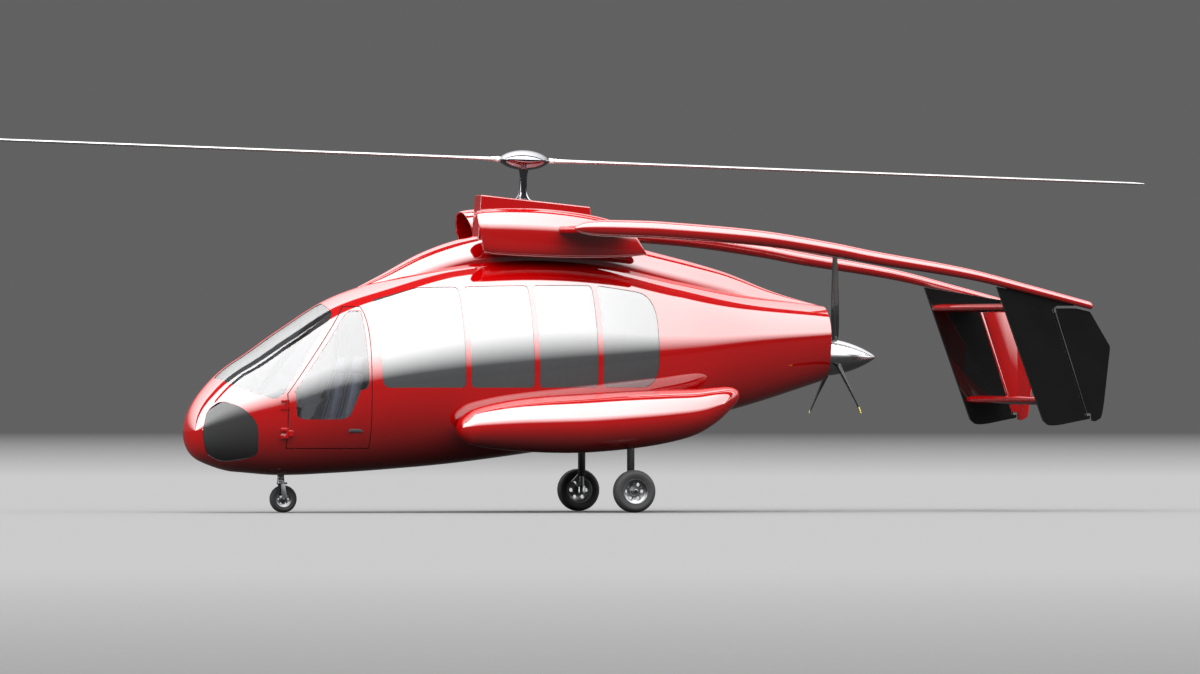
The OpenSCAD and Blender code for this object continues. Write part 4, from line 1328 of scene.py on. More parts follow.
@dataclass
class RotorHead:
    """Mast with its base struts, hub dome, blade grips and blades."""

    centre_z: float = 4.14
    tilt: float = 2.0
    mast_r: float = 0.043
    strut_r: float = 0.011
    strut_foot: float = -0.49
    strut_reach: float = 0.135
    strut_height: float = 0.125
    hub_r: float = 0.303
    hub_half: float = 0.12
    radius: float = 7.6
    chord: float = 0.36
    thickness: float = 0.042
    blade_rows: Triples = (
        (0.04, 0.25, 1.15), (0.06, 0.4, 1.1), (0.12, 0.95, 1.0), (0.2, 1.0, 0.95), (0.94, 1.0, 0.8),
        (0.985, 0.8, 0.7), (1.0, 0.3, 0.4))

    @property
    def turn(self) -> Matrix:
        """Place and tilt of the rotor."""
        return Matrix.Translation((0, 0, self.centre_z)) @ Matrix.Rotation(math.radians(self.tilt), 4, "Y")

    def build(self) -> None:
        """Builds the fixed mast and the turning head."""
        self.mast()
        steps, fullness = 28, 1.3
        turns = [math.radians(-90 + 180 * k / steps) for k in range(steps + 1)]
        dome = [(self.hub_r * max(math.cos(a), 0.0),
                 math.copysign(self.hub_half * abs(math.sin(a)) ** fullness, a)) for a in turns]
        hub = lathe("hub_dome", dome, (0, 0, 0), (0, 0, 1), 96)
        inside, outside, half = self.hub_r * 0.985, self.hub_r + 0.002, 0.004
        ring = [(inside, -half), (outside, -half), (outside, half), (inside, half)]
        seam = lathe("hub_seam", ring, (0, 0, 0), (0, 0, 1), 96)
        head = join([hub, seam], "rotor_hub_dome")
        head.data.transform(self.turn)
        deliver(shade(head, 40), "rotor", DARK_CHROME, ["rotor_hub"])
        blades = [self.blade(k) for k in range(2)]
        pair = join(blades, "rotor_blade_pair")
        pair.data.transform(self.turn)
        deliver(shade(pair, 40), "rotor", WHITE_PAINT, ["rotor_blades"])

    def mast(self) -> None:
        """Builds the mast with its collar and curved base struts."""
        r = self.mast_r
        profile = [(0.0, -0.62), (r + 0.07, -0.62), (r + 0.066, -0.585), (r + 0.02, -0.56),
                   (r + 0.006, -0.5), (r, -0.44), (r, -0.2), (r + 0.004, -0.16), (r + 0.012, -0.13),
                   (r + 0.012, 0.05), (0.0, 0.055)]
        tube = lathe("mast_tube", profile, (0, 0, 0), (0, 0, 1), 64)
        struts = [self.strut(math.radians(45 + 90 * k)) for k in range(4)]
        mast = join([tube, *struts], "rotor_mast")
        mast.data.transform(self.turn)
        deliver(shade(mast, 40), AIRFRAME, DARK_CHROME, ["mast"])

    def strut(self, angle: float) -> Piece:
        """Makes a curved strut from the mast to the pylon's top.

        Args:
            angle: its direction around the mast.
        Returns:
            The strut.
        """

        def shape(u: Array, v: Array) -> Array:
            """Returns the points of the strut."""
            bow = u * math.pi / 2
            reach = self.mast_r + self.strut_reach * (1 - np.cos(bow))
            rise = self.strut_foot + self.strut_height * (1 - np.sin(bow))
            ring = v * math.tau
            out = reach + self.strut_r * np.cos(ring) * np.cos(bow)
            z = rise + self.strut_r * np.cos(ring) * np.sin(bow)
            across = self.strut_r * np.sin(ring)
            c, s = math.cos(angle), math.sin(angle)
            return np.stack([out * c - across * s, out * s + across * c, z], 1)

        return sheet("mast_strut", (14, 14), shape, closed=True)

    def blade(self, k: int) -> Piece:
        """Makes an aerofoil with a round root, along +X or -X of the head.

        Args:
            k: index of the blade.
        Returns:
            The blade.
        """
        places, chords, depths = zip(*self.blade_rows)
        crowding, root, thinning, shift = 1.6, 0.06, 0.45, 0.06

        def shape(u: Array, v: Array) -> Array:
            """Returns the points of the blade."""
            share = self.blade_rows[0][0] + (1 - self.blade_rows[0][0]) * u ** crowding
            wide, deep = np.interp(share, places, chords), np.interp(share, places, depths)
            wide, deep = wide * self.chord, deep * self.thickness
            turn = v * math.tau
            along = np.cos(turn)
            fat = np.clip((share - root) / root, 0.0, 1.0)
            lens = np.sin(turn) * (1 - thinning * fat * (along < 0) * along ** 2)
            x = share * self.radius + shift * (1 - share)
            return np.stack([x, wide / 2 * along, deep / 2 * lens], 1)

        blade = sheet(f"rotor_blade_{k}", (90, 28), shape, closed=True)
        grip = bar("blade_grip", (0.16, 0, 0), (0.4, 0, 0), 0.028, 32, 0.004)
        clamp = bar("blade_clamp", (0.3, 0, 0), (0.345, 0, 0), 0.033, 32, 0.006)
        whole = join([blade, grip, clamp], f"rotor_blade_{k}")
        whole.data.transform(Matrix.Rotation(math.pi * k, 4, "Z"))
        return whole


# Tail


@dataclass
class TailBooms:
    """Booms from the stub wings to the fins. Columns: x, height, radius."""

    rows: Triples = (
        (0.2, 3.33, 0.012), (0.29, 3.332, 0.062), (0.48, 3.332, 0.092), (0.85, 3.325, 0.1),
        (1.257, 3.31, 0.1), (2.45, 3.215, 0.092), (3.352, 3.08, 0.082), (3.8, 2.995, 0.078),
        (4.972, 2.8, 0.064), (5.74, 2.615, 0.054), (6.51, 2.42, 0.044))
    y: float = 1.58
    tip: float = 0.045
    wing_nose: Pair = (0.315, 0.055)
    wing_tail: Pair = (1.0925, 0.0275)
    wing_z: float = 3.318
    wing_flat: float = 0.35
    wing_sink: float = 0.014
    boom_sink: float = 0.04

    def build(self) -> None:
        """Builds both booms and the stub wings that carry them."""
        x0, x1 = self.rows[0][0], self.rows[-1][0]
        even = 0.25

        def shape(u: Array, v: Array) -> Array:
            """Returns the points of the left boom."""
            crowded = np.where(u < 0.5, 2 * u * u, 1 - 2 * (1 - u) ** 2)
            x = x0 + (x1 - x0) * (even * u + (1 - even) * crowded)
            past = np.clip((x - (x1 - self.tip)) / self.tip, 0.0, 0.995)
            r = smooth_row(self.rows, 2, x) * np.sqrt(1 - past ** 2)
            turn = v * math.tau
            z = smooth_row(self.rows, 1, x) + r * np.sin(turn)
            return np.stack([x, -self.y + r * np.cos(turn), z], 1)

        left = shade(capped(sheet("boom_left", (160, 40), shape, closed=True)), 40)
        pair = join([left, mirrored(left, "boom_right")], "tail_booms")
        pair.visible_glossy = False
        deliver(pair, AIRFRAME, RED_PAINT, ["booms"])
        wing = shade(self.wing(), 40)
        wings = join([wing, mirrored(wing, "stub_wing_right")], "boom_stub_wings")
        wings.visible_glossy = False
        deliver(wings, AIRFRAME, RED_PAINT, ["stub_wings"])

    def wing(self) -> Piece:
        """Returns the left stub wing, from inside the nacelle's wall to inside the boom."""
        ducts = AirNacelles()

        def shape(u: Array, v: Array) -> Array:
            """Returns the points of the wing."""
            along, rise = np.cos(v * math.tau), np.sin(v * math.tau)
            (nose_x, nose_r), (tail_x, tail_r) = self.wing_nose, self.wing_tail
            ahead = along < 0
            r = nose_r + (tail_r - nose_r) * (along + 1) / 2
            x = np.where(ahead, nose_x, tail_x) + np.where(ahead, nose_r, tail_r) * along
            flat = np.interp(along, (-self.wing_flat, self.wing_flat), (nose_x, tail_x))
            x = np.where(np.abs(along) < self.wing_flat, flat, x)
            z = self.wing_z + r * rise
            root = ducts.side_y(x, z) - self.wing_sink
            return np.stack([x, -(root + (self.y - self.boom_sink - root) * u), z], 1)

        return capped(sheet("stub_wing_left", (24, 64), shape, closed=True))


@dataclass
class TailUnit:
    """Fins with their hinged rudders, and the stabilisers between them."""

    fin_y: float = 1.55
    fin_t: float = 0.06
    fin: Triples = (
        (5.338, 2.65, 0.0), (5.905, 1.075, 0.06), (5.99, 1.0, 0.4), (6.47, 1.096, 0.04),
        (6.48, 1.13, 0.0), (6.418, 1.135, 0.0), (6.008, 2.392, 0.0), (6.075, 2.425, 0.0),
        (6.28, 2.425, 0.0), (6.28, 2.5, 0.0))
    rudder: Triples = (
        (6.428, 1.165, 0.0), (6.494, 1.158, 0.0), (6.502, 1.072, 0.1), (6.545, 1.066, 0.1),
        (6.63, 1.115, 0.3), (6.724, 1.925, 0.04), (6.72, 1.96, 0.1), (6.478, 2.362, 0.06),
        (6.3, 2.402, 0.0), (6.062, 2.4, 0.0))
    rudder_t: float = 0.046
    hinge_low: Pair = (6.44, 1.135)
    hinge_top: Pair = (6.03, 2.392)
    nose_r: float = 0.025
    gap: float = 0.009
    stabilisers: Table = ((5.425, 0.5, 2.4, 0.11), (5.85, 0.44, 1.31, 0.11))

    def build(self) -> None:
        """Builds the fins, rudders and stabilisers."""
        left = self.build_fin()
        fins = join([left, mirrored(left, "tail_fin_right")], "tail_fins")
        deliver(fins, AIRFRAME, BLACK_PAINT, ["fins"])
        first = self.build_rudder()
        for side in Side:
            rudder = first if side is Side.LEFT else mirrored(first, "tail_rudder_right")
            body, node = f"rudder_{side.word[0]}", f"rudder_{side.word}"
            self.two_tone(deliver(rudder, body, BLACK_PAINT, [node], RED_PAINT))
        planes = join([self.plane(*row) for row in self.stabilisers], "tail_planes")
        deliver(shade(planes, 40), AIRFRAME, RED_PAINT, ["stabilisers"])

    def at(self, along: float) -> Triple:
        """Places a point on the left hinge line.

        Args:
            along: distance above its low end.
        Returns:
            The point.
        """
        low, top = Vector(self.hinge_low), Vector(self.hinge_top)
        point = low + (top - low).normalized() * along
        return point.x, -self.fin_y, point.y

    @property
    def length(self) -> float:
        """Length of the hinge line."""
        return (Vector(self.hinge_top) - Vector(self.hinge_low)).length

    def plate(self, name: str, outline: Sequence[Triple], thickness: float, bevel: float) -> Piece:
        """Returns a left plate over an outline in side view, with rounded edges."""
        flat = [(x, -self.fin_y - thickness / 2, z) for x, z in rounded(outline)]
        return prism(name, flat, (0, 1, 0), (0.0, thickness), bevel)

    def build_fin(self) -> Piece:
        """Returns the left fin with its hinge lugs and pin."""
        fin = self.plate("tail_fin_left", self.fin, self.fin_t, 0.02)
        cut(fin, bar("hinge_cutter", self.at(0.0), self.at(self.length), self.nose_r + self.gap, 40))
        lugs = [bar("hinge_lug", self.at(a), self.at(b), self.nose_r + 0.004, 32, 0.004)
                for a, b in ((-0.045, 0.0), (self.length, self.length + 0.045))]
        pin = bar("hinge_pin", self.at(-0.006), self.at(self.length + 0.006), 0.0078, 16)
        return crisp(join([fin, *lugs, pin], "tail_fin_left"), 35)

    def build_rudder(self) -> Piece:
        """Returns the left rudder with its round nose."""
        plate = self.plate("tail_rudder_left", self.rudder, self.rudder_t, 0.016)
        nose = bar("rudder_nose", self.at(0.03), self.at(self.length - 0.04), self.nose_r, 32, 0.003)
        return crisp(join([plate, nose], "tail_rudder_left"), 35)

    def two_tone(self, obj: Piece) -> None:
        """Paints the faces that look to the middle plane with the second finish."""
        for face in obj.data.polygons:
            face.material_index = int(face.normal.y * face.center.y < -0.45)

    def plane(self, front: float, chord: float, height: float, thick: float) -> Piece:
        """Makes a stabiliser with an aerofoil section, from fin to fin.

        Args:
            front: place of its front edge.
            chord: its length along the body.
            height: its height.
            thick: its thickness.
        Returns:
            The stabiliser.
        """
        reach = self.fin_y - self.fin_t / 2 + 0.004

        def shape(u: Array, v: Array) -> Array:
            """Returns the points of the stabiliser."""
            turn = v * math.tau
            along = (1 + np.cos(turn)) / 2
            half = thick / 2 * np.sin(turn) * (1.25 - 0.75 * along)
            return np.stack([front + chord * along, -reach + 2 * reach * u, height + half], 1)

        return capped(sheet("tail_plane", (40, 40), shape, closed=True))


@dataclass(frozen=True)
class PropellerForm:
    """Place and size of the tail propeller. Columns of a row: radius share, chord, thickness, pitch."""

    x: float = 3.8
    height: float = 1.82
    radius: float = 1.32
    rows: Table = (
        (0.172, 0.07, 0.06, 50.0), (0.2, 0.095, 0.04, 45.0), (0.4, 0.13, 0.024, 32.0),
        (0.7, 0.12, 0.017, 23.0), (0.93, 0.09, 0.012, 18.0), (1.0, 0.03, 0.006, 17.0))


PROP_PAINT = Finish("propeller_paint", Slot.BLACK, (0.006, 0.006, 0.0062), (0.01, 0.01, 0.01), (0.3, 0.42),
                    band_from=1.235, band_colour=(0.8, 0.62, 0.12))


@dataclass
class Propeller:
    """Three-blade pusher propeller with its spinner."""

    form: PropellerForm = PropellerForm()
    spinner_r: float = 0.218
    spinner_span: Pair = (-0.128, 0.5)
    shank: float = 0.034

    def build(self) -> None:
        """Builds the spinner and the blades."""
        low, high = self.spinner_span
        lip, power, bluntness, steps = 0.014, 1.7, 0.85, 40
        edge = low + lip
        profile = [(0.0, low), (self.spinner_r - lip, low), (self.spinner_r - 0.005, low + 0.004),
                   (self.spinner_r, edge)]
        for k in range(1, steps + 1):
            t = k / steps
            radius = self.spinner_r * (1 - t ** power) ** bluntness if k < steps else 0.0
            profile.append((radius, edge + t * (high - edge)))
        spinner = lathe("propeller_spinner", profile, (self.form.x, 0, self.form.height), (1, 0, 0), 96)
        deliver(shade(spinner, 40), "propeller", SILVER_PAINT, ["spinner"])
        blades = []
        for k in range(3):
            blade = self.blade()
            blade.data.transform(Matrix.Translation((self.form.x, 0, self.form.height))
                                 @ Matrix.Rotation(math.radians(120 * k), 4, "X"))
            blades.append(blade)
        blade_set = shade(join(blades, "propeller_blade_set"), 40)
        deliver(blade_set, "propeller", PROP_PAINT, ["propeller_blades"])

    def blade(self) -> Piece:
        """Returns a twisted blade along +Z with its round root and collar."""
        first = self.form.rows[0][0]
        crowding, camber, tip_from, tip = 1.5, 0.35, 0.965, 0.036

        def shape(u: Array, v: Array) -> Array:
            """Returns the points of the blade."""
            share = first + (1 - first) * (1 - (1 - u) ** crowding)
            chord, thick, pitch = (smooth_row(self.form.rows, c, share) for c in (1, 2, 3))
            end = np.sqrt(1 - np.clip((share - tip_from) / tip, 0.0, 1.0) ** 2)
            turn = -v * math.tau
            a = chord / 2 * np.cos(turn) * end
            b = thick / 2 * np.sin(turn) * (1 - camber * np.cos(turn)) * end
            c, s = np.cos(np.radians(pitch)), np.sin(np.radians(pitch))
            return np.stack([a * s - b * c, -a * c - b * s, share * self.form.radius], 1)

        blade = sheet("propeller_blade", (70, 28), shape, closed=True)
        root = bar("propeller_shank", (0, 0, 0.09), (0, 0, 0.25), self.shank, 32, 0.003)
        return join([capped(blade), root], "propeller_blade")


# Gear


@dataclass
class Sponsons:
    """Side fairings over the main gear. Columns: x, centre height, half height, half width, centre y."""

    rows: Table = (
        (-1.08, 0.99, 0.012, 0.012, 1.0), (-1.06, 0.992, 0.075, 0.09, 1.0),
        (-1.0, 0.996, 0.14, 0.17, 1.01), (-0.9, 1.002, 0.205, 0.25, 1.025),
        (-0.7, 1.013, 0.255, 0.32, 1.04), (-0.4, 1.026, 0.3, 0.38, 1.055),
        (0.0, 1.036, 0.333, 0.425, 1.06), (0.45, 1.05, 0.347, 0.44, 1.06),
        (1.0, 1.088, 0.342, 0.435, 1.06), (1.45, 1.13, 0.315, 0.4, 1.055), (1.8, 1.18, 0.27, 0.35, 1.045),
        (2.05, 1.26, 0.21, 0.28, 1.03), (2.22, 1.335, 0.14, 0.19, 1.01), (2.32, 1.372, 0.07, 0.1, 1.0),
        (2.35, 1.38, 0.012, 0.02, 0.995))
    tuck: float = 0.012

    def build(self) -> None:
        """Builds both sponsons as one piece."""

        def shape(u: Array, v: Array) -> Array:
            """Returns the points of the left sponson."""
            x = self.rows[0][0] + (self.rows[-1][0] - self.rows[0][0]) * (1 - np.cos(math.pi * u)) / 2
            height, high, wide, middle = (smooth_row(self.rows, c, x) for c in (1, 2, 3, 4))
            z = height + high * np.sin(v * math.tau)
            out = middle + wide * np.cos(v * math.tau)
            return np.stack([x, -np.maximum(out, BODY.side_y(x, z) - self.tuck), z], 1)

        left = capped(sheet("sponson_left", (110, 72), shape, closed=True))
        shade(left, 50)
        pair = join([left, mirrored(left, "sponson_right")], "side_sponsons")
        deliver(pair, AIRFRAME, RED_PAINT, ["sponsons"])


@dataclass
class Wheel:
    """A wheel: its grooved tyre and its rim with holes and bolts."""

    name: str
    body: str
    centre: Triple
    tyre_d: float
    tyre_w: float
    axle_r: float
    nodes: tuple[str, str]
    grooves: int = 4
    holes: int = 6
    rim_share: float = 0.31
    tread_share: float = 0.36
    hub_share: float = 0.42
    web_share: float = 0.12

    def build(self) -> None:
        """Builds the tyre and the rim."""
        deliver(self.tyre(), self.body, RUBBER, [self.nodes[1]])
        deliver(self.rim(), self.body, BARE_METAL, [self.nodes[0]])

    def tyre(self) -> Piece:
        """Returns the tyre, with round shoulders and grooves around its tread."""
        low, high, w = self.rim_share * self.tyre_d, self.tyre_d / 2, self.tyre_w
        deep, wide, taper = 0.006, 0.0045, 0.7
        side = [(low, 0.4), (low + 0.004, 0.44), (low + 0.014, 0.462), (low + 0.02, 0.456),
                (low + 0.028, 0.474), ((low + high) / 2, 0.499), (high - 0.034, 0.47), (high - 0.02, 0.41),
                (high - 0.009, 0.335), (high - 0.003, 0.26), (high, 0.18)]
        profile = [(r, -share * w) for r, share in side]
        for k in range(self.grooves):
            at = (k - (self.grooves - 1) / 2) * self.tread_share * w / self.grooves
            profile += [(high, at - wide), (high - deep, at - wide * taper),
                        (high - deep, at + wide * taper), (high, at + wide)]
        profile += [(r, share * w) for r, share in reversed(side)]
        profile.append(profile[0])
        return shade(lathe(f"{self.name}_tread", profile, self.centre, (0, 1, 0), 96), 40)

    def rim(self) -> Piece:
        """Returns the rim, with holes in its web and bolts around its hub."""
        r, w, bore = self.rim_share * self.tyre_d, self.tyre_w, self.axle_r + 0.0003
        end, web, hole_share = self.hub_share * w, self.web_share * w, 0.26
        hub, lip = bore + 0.022, r - 0.018
        profile = [(bore, -end), (hub - 0.003, -end), (hub, -0.4 * w), (hub + 0.002, -0.16 * w),
                   (hub + 0.01, -web), (lip - 0.012, -web), (lip, -0.17 * w), (lip + 0.002, -0.4 * w),
                   (lip + 0.006, -end), (r, -end)]
        profile += [(a, -b) for a, b in reversed(profile)]
        profile.append(profile[0])
        rim = lathe(f"{self.name}_rim", profile, (0, 0, 0), (0, 0, 1), 96)
        middle = (hub + lip) / 2
        for k in range(self.holes):
            turn = math.tau * k / self.holes
            x, y = middle * math.cos(turn), middle * math.sin(turn)
            cut(rim, bar("rim_hole", (x, y, -w), (x, y, w), (lip - hub) * hole_share, 24))
        bolts = []
        for k in range(self.holes):
            turn = math.tau * (k + 0.5) / self.holes
            x, y = middle * math.cos(turn), middle * math.sin(turn)
            for side in Side:
                foot, head = ((x, y, side.value * web + side.value * rise) for rise in (-0.002, 0.007))
                bolts.append(bar("rim_bolt", foot, head, 0.007, 6, 0.001))
        whole = join([rim, *bolts], f"{self.name}_rim")
        whole.data.transform(Matrix.Translation(Vector(self.centre)) @ toward((0, 1, 0)))
        return shade(whole, 35)


@dataclass
class LandingGear:
    """Nose leg with its steered fork, main legs and all wheels."""

    nose_x: float = -2.95
    caster: float = 0.028
    nose_d: float = 0.32
    nose_w: float = 0.11
    main: Triple = (1.0, 1.27, 0.25)
    main_d: float = 0.5
    main_w: float = 0.165
    main_leg_y: float = 1.1155
    nose_axle_r: float = 0.015
    main_axle_r: float = 0.024

    def build(self) -> None:
        """Builds the legs and wheels."""
        self.nose_leg()
        self.nose_fork()
        Wheel("nose_wheel", "nose_wheel", (self.nose_x + self.caster, 0.0, self.nose_d / 2), self.nose_d,
              self.nose_w, self.nose_axle_r, ("nose_rim", "nose_tyre"), 3).build()
        for side in Side:
            x, y, z = self.main
            Wheel(f"main_wheel_{side.word}", f"main_wheel_{side.word}", (x, side.value * y, z), self.main_d,
                  self.main_w, self.main_axle_r,
                  (f"main_rim_{side.word}", f"main_tyre_{side.word}")).build()
        left = self.main_leg()
        legs = join([left, mirrored(left, "main_leg_right")], "main_oleo_legs")
        deliver(shade(legs, 40), AIRFRAME, BARE_METAL, ["main_legs"])

    def nose_leg(self) -> None:
        """Builds the fixed tube of the nose leg, hollow below for the fork's pin."""
        profile = [(0.0201, 0.0), (0.038, 0.0), (0.042, 0.004), (0.042, 0.03), (0.0395, 0.034),
                   (0.0395, 0.08), (0.042, 0.084), (0.042, 0.198), (0.0, 0.2), (0.0, 0.13), (0.0201, 0.128),
                   (0.0201, 0.0)]
        leg = lathe("nose_oleo_leg", profile, (self.nose_x, 0, 0.361), (0, 0, 1), 48)
        deliver(shade(leg, 40), AIRFRAME, BARE_METAL, ["nose_leg"])

    def nose_fork(self) -> None:
        """Builds the fork with its crown, pin, legs and hollow axle."""
        x, crown, half = self.nose_x, self.nose_d + 0.012, self.nose_w / 2
        axle_x, axle_z = x + self.caster, self.nose_d / 2
        arm, bend, deck, bore, chamfer = 0.02, 0.03, 0.026, 0.0091, 0.002
        parts = [bar("fork_pin", (x, 0, crown + arm), (x, 0, 0.477), 0.0199, 32, 0.002),
                 bar("fork_collar", (x, 0, crown), (x, 0, crown + deck), 0.042, 40, 0.003),
                 block("fork_crown", (x - bend, -half - bend, crown),
                       (x + bend + self.caster, half + bend, crown + deck), 0.006)]
        turns = [math.radians(a) for a in range(-20, 201, 10)]
        foot = [(axle_x + bend * math.cos(a), -bend * math.sin(a) + axle_z) for a in turns]
        outline = [(x + bend, crown + arm), (x - arm, crown + arm), *reversed(foot)]
        for side in Side:
            y = side.value * (half + arm)
            flat = [(a, y - arm / 2, b) for a, b in outline]
            parts.append(prism("fork_leg", flat, (0, 1, 0), (0.0, arm), 0.003))
        reach = half + 0.042
        ring = [(bore, -reach), (0.013, -reach), (self.nose_axle_r, -reach + chamfer),
                (self.nose_axle_r, reach - chamfer), (0.013, reach), (bore, reach), (bore, -reach)]
        axle = lathe("fork_axle", ring, (axle_x, 0, axle_z), (0, 1, 0), 40)
        for part in parts[3:]:
            cut(part, bar("tow_cutter", (axle_x, -1, axle_z), (axle_x, 1, axle_z), 0.0149, 40))
        fork = shade(join([*parts, axle], "nose_fork_frame"), 40)
        deliver(fork, "nose_steering", BARE_METAL, ["nose_fork"])

    def main_leg(self) -> Piece:
        """Returns the left main leg: cylinder, collars, piston, axle and links."""
        x, y, z = self.main[0], -self.main_leg_y, self.main[2]
        profile = [(0.0, 0.0), (0.036, 0.0), (0.044, 0.004), (0.044, 0.082), (0.04, 0.088), (0.033, 0.09),
                   (0.033, 0.2), (0.041, 0.202), (0.044, 0.206), (0.044, 0.69), (0.0, 0.69)]
        leg = lathe("main_oleo", profile, (x, y, 0.21), (0, 0, 1), 48)
        rim_y, end_y = -self.main[1] - self.main_w * Wheel.hub_share, 0.006
        axle = bar("main_axle", (x, y, z), (x, rim_y - end_y, z), self.main_axle_r, 40, 0.003)
        nut = bar("main_nut", (x, rim_y - 0.0005, z), (x, rim_y - end_y, z), 0.03, 6, 0.001)
        flange = bar("axle_flange", (x, y, z), (x, y - 0.054, z), 0.038, 40, 0.003)
        knee_x, knee_z = x - 0.115, 0.345
        knee = (knee_x, y, knee_z)
        links = [bar("leg_link", low, high, 0.011, 20, 0.002)
                 for low, high in (((x - 0.04, y, 0.275), knee), (knee, (x - 0.04, y, 0.43)))]
        pivot = bar("link_pivot", (knee_x, y - 0.02, knee_z), (knee_x, y + 0.02, knee_z), 0.014, 24, 0.002)
        return join([leg, axle, nut, flange, *links, pivot], "main_leg_left")


# Interior


@dataclass
class Pad:
    """A stuffed pad of a seat in the seat's own frame: x to the rear, z up from the floor.

    seams are the places of the sewn lines along the pad's width, as shares of its half width, and rungs the
    places of the lines across it, as shares of its length.
    """

    name: str
    low: Triple
    high: Triple
    seams: tuple[float, ...]
    rungs: tuple[float, ...]
    upright: bool
    voxel: float = 0.012
    pressure: float = 4.0
    frames: int = 20
    cap: float = 0.02

    def build(self) -> Piece:
        """Builds the pad and fills it by a cloth simulation that its seams hold down."""
        pad = block(self.name, self.low, self.high, 0.03, 4)
        modify(pad, "REMESH", mode="VOXEL", voxel_size=self.voxel)
        self.inflate(pad)
        return shade(pad, 60)

    def inflate(self, pad: Piece) -> None:
        """Runs the cloth simulation and applies its moves, capped.

        Args:
            pad: the flat pad.
        """
        rest = corners(pad)
        held = pad.vertex_groups.new(name="held")
        held.add([int(i) for i in np.flatnonzero(self.held(rest))], 1.0, "REPLACE")
        cloth = pad.modifiers.new("Cloth", "CLOTH")
        cloth.settings.use_pressure = True
        cloth.settings.uniform_pressure_force = self.pressure
        cloth.settings.vertex_group_mass = held.name
        cloth.settings.effector_weights.gravity = 0.0
        cloth.point_cache.frame_start, cloth.point_cache.frame_end = 1, self.frames
        for number in range(1, self.frames + 1):
            bpy.context.scene.frame_set(number)
        activate(pad)
        bpy.ops.object.modifier_apply(modifier=cloth.name)
        bpy.context.scene.frame_set(1)
        move = corners(pad) - rest
        length = np.maximum(np.linalg.norm(move, axis=1, keepdims=True), 1e-9)
        set_corners(pad, rest + move * np.minimum(1.0, self.cap / length))
        pad.vertex_groups.clear()

    def held(self, points: Array) -> Array:
        """Finds the points that the seams and the rear side hold.

        Args:
            points: the pad's vertices.
        Returns:
            Whether each point is held.
        """
        low, high = np.array(self.low), np.array(self.high)
        across = points[:, 1] / high[1]
        length = 2 if self.upright else 0
        lip, rear, reach = 0.02, 0.012, self.voxel * 0.6
        along = (points[:, length] - low[length]) / (high[length] - low[length])
        front = points[:, 0] < low[0] + lip if self.upright else points[:, 2] > high[2] - lip
        near = np.zeros(len(points), dtype=bool)
        for seam in self.seams:
            near |= np.abs(across - seam) * high[1] < reach
        inner = np.abs(across) < max(self.seams, default=1.0)
        for rung in self.rungs:
            near |= (np.abs(along - rung) * (high[length] - low[length]) < reach) & inner
        back = points[:, 0] > high[0] - rear if self.upright else points[:, 2] < low[2] + rear
        return (near & front) | back


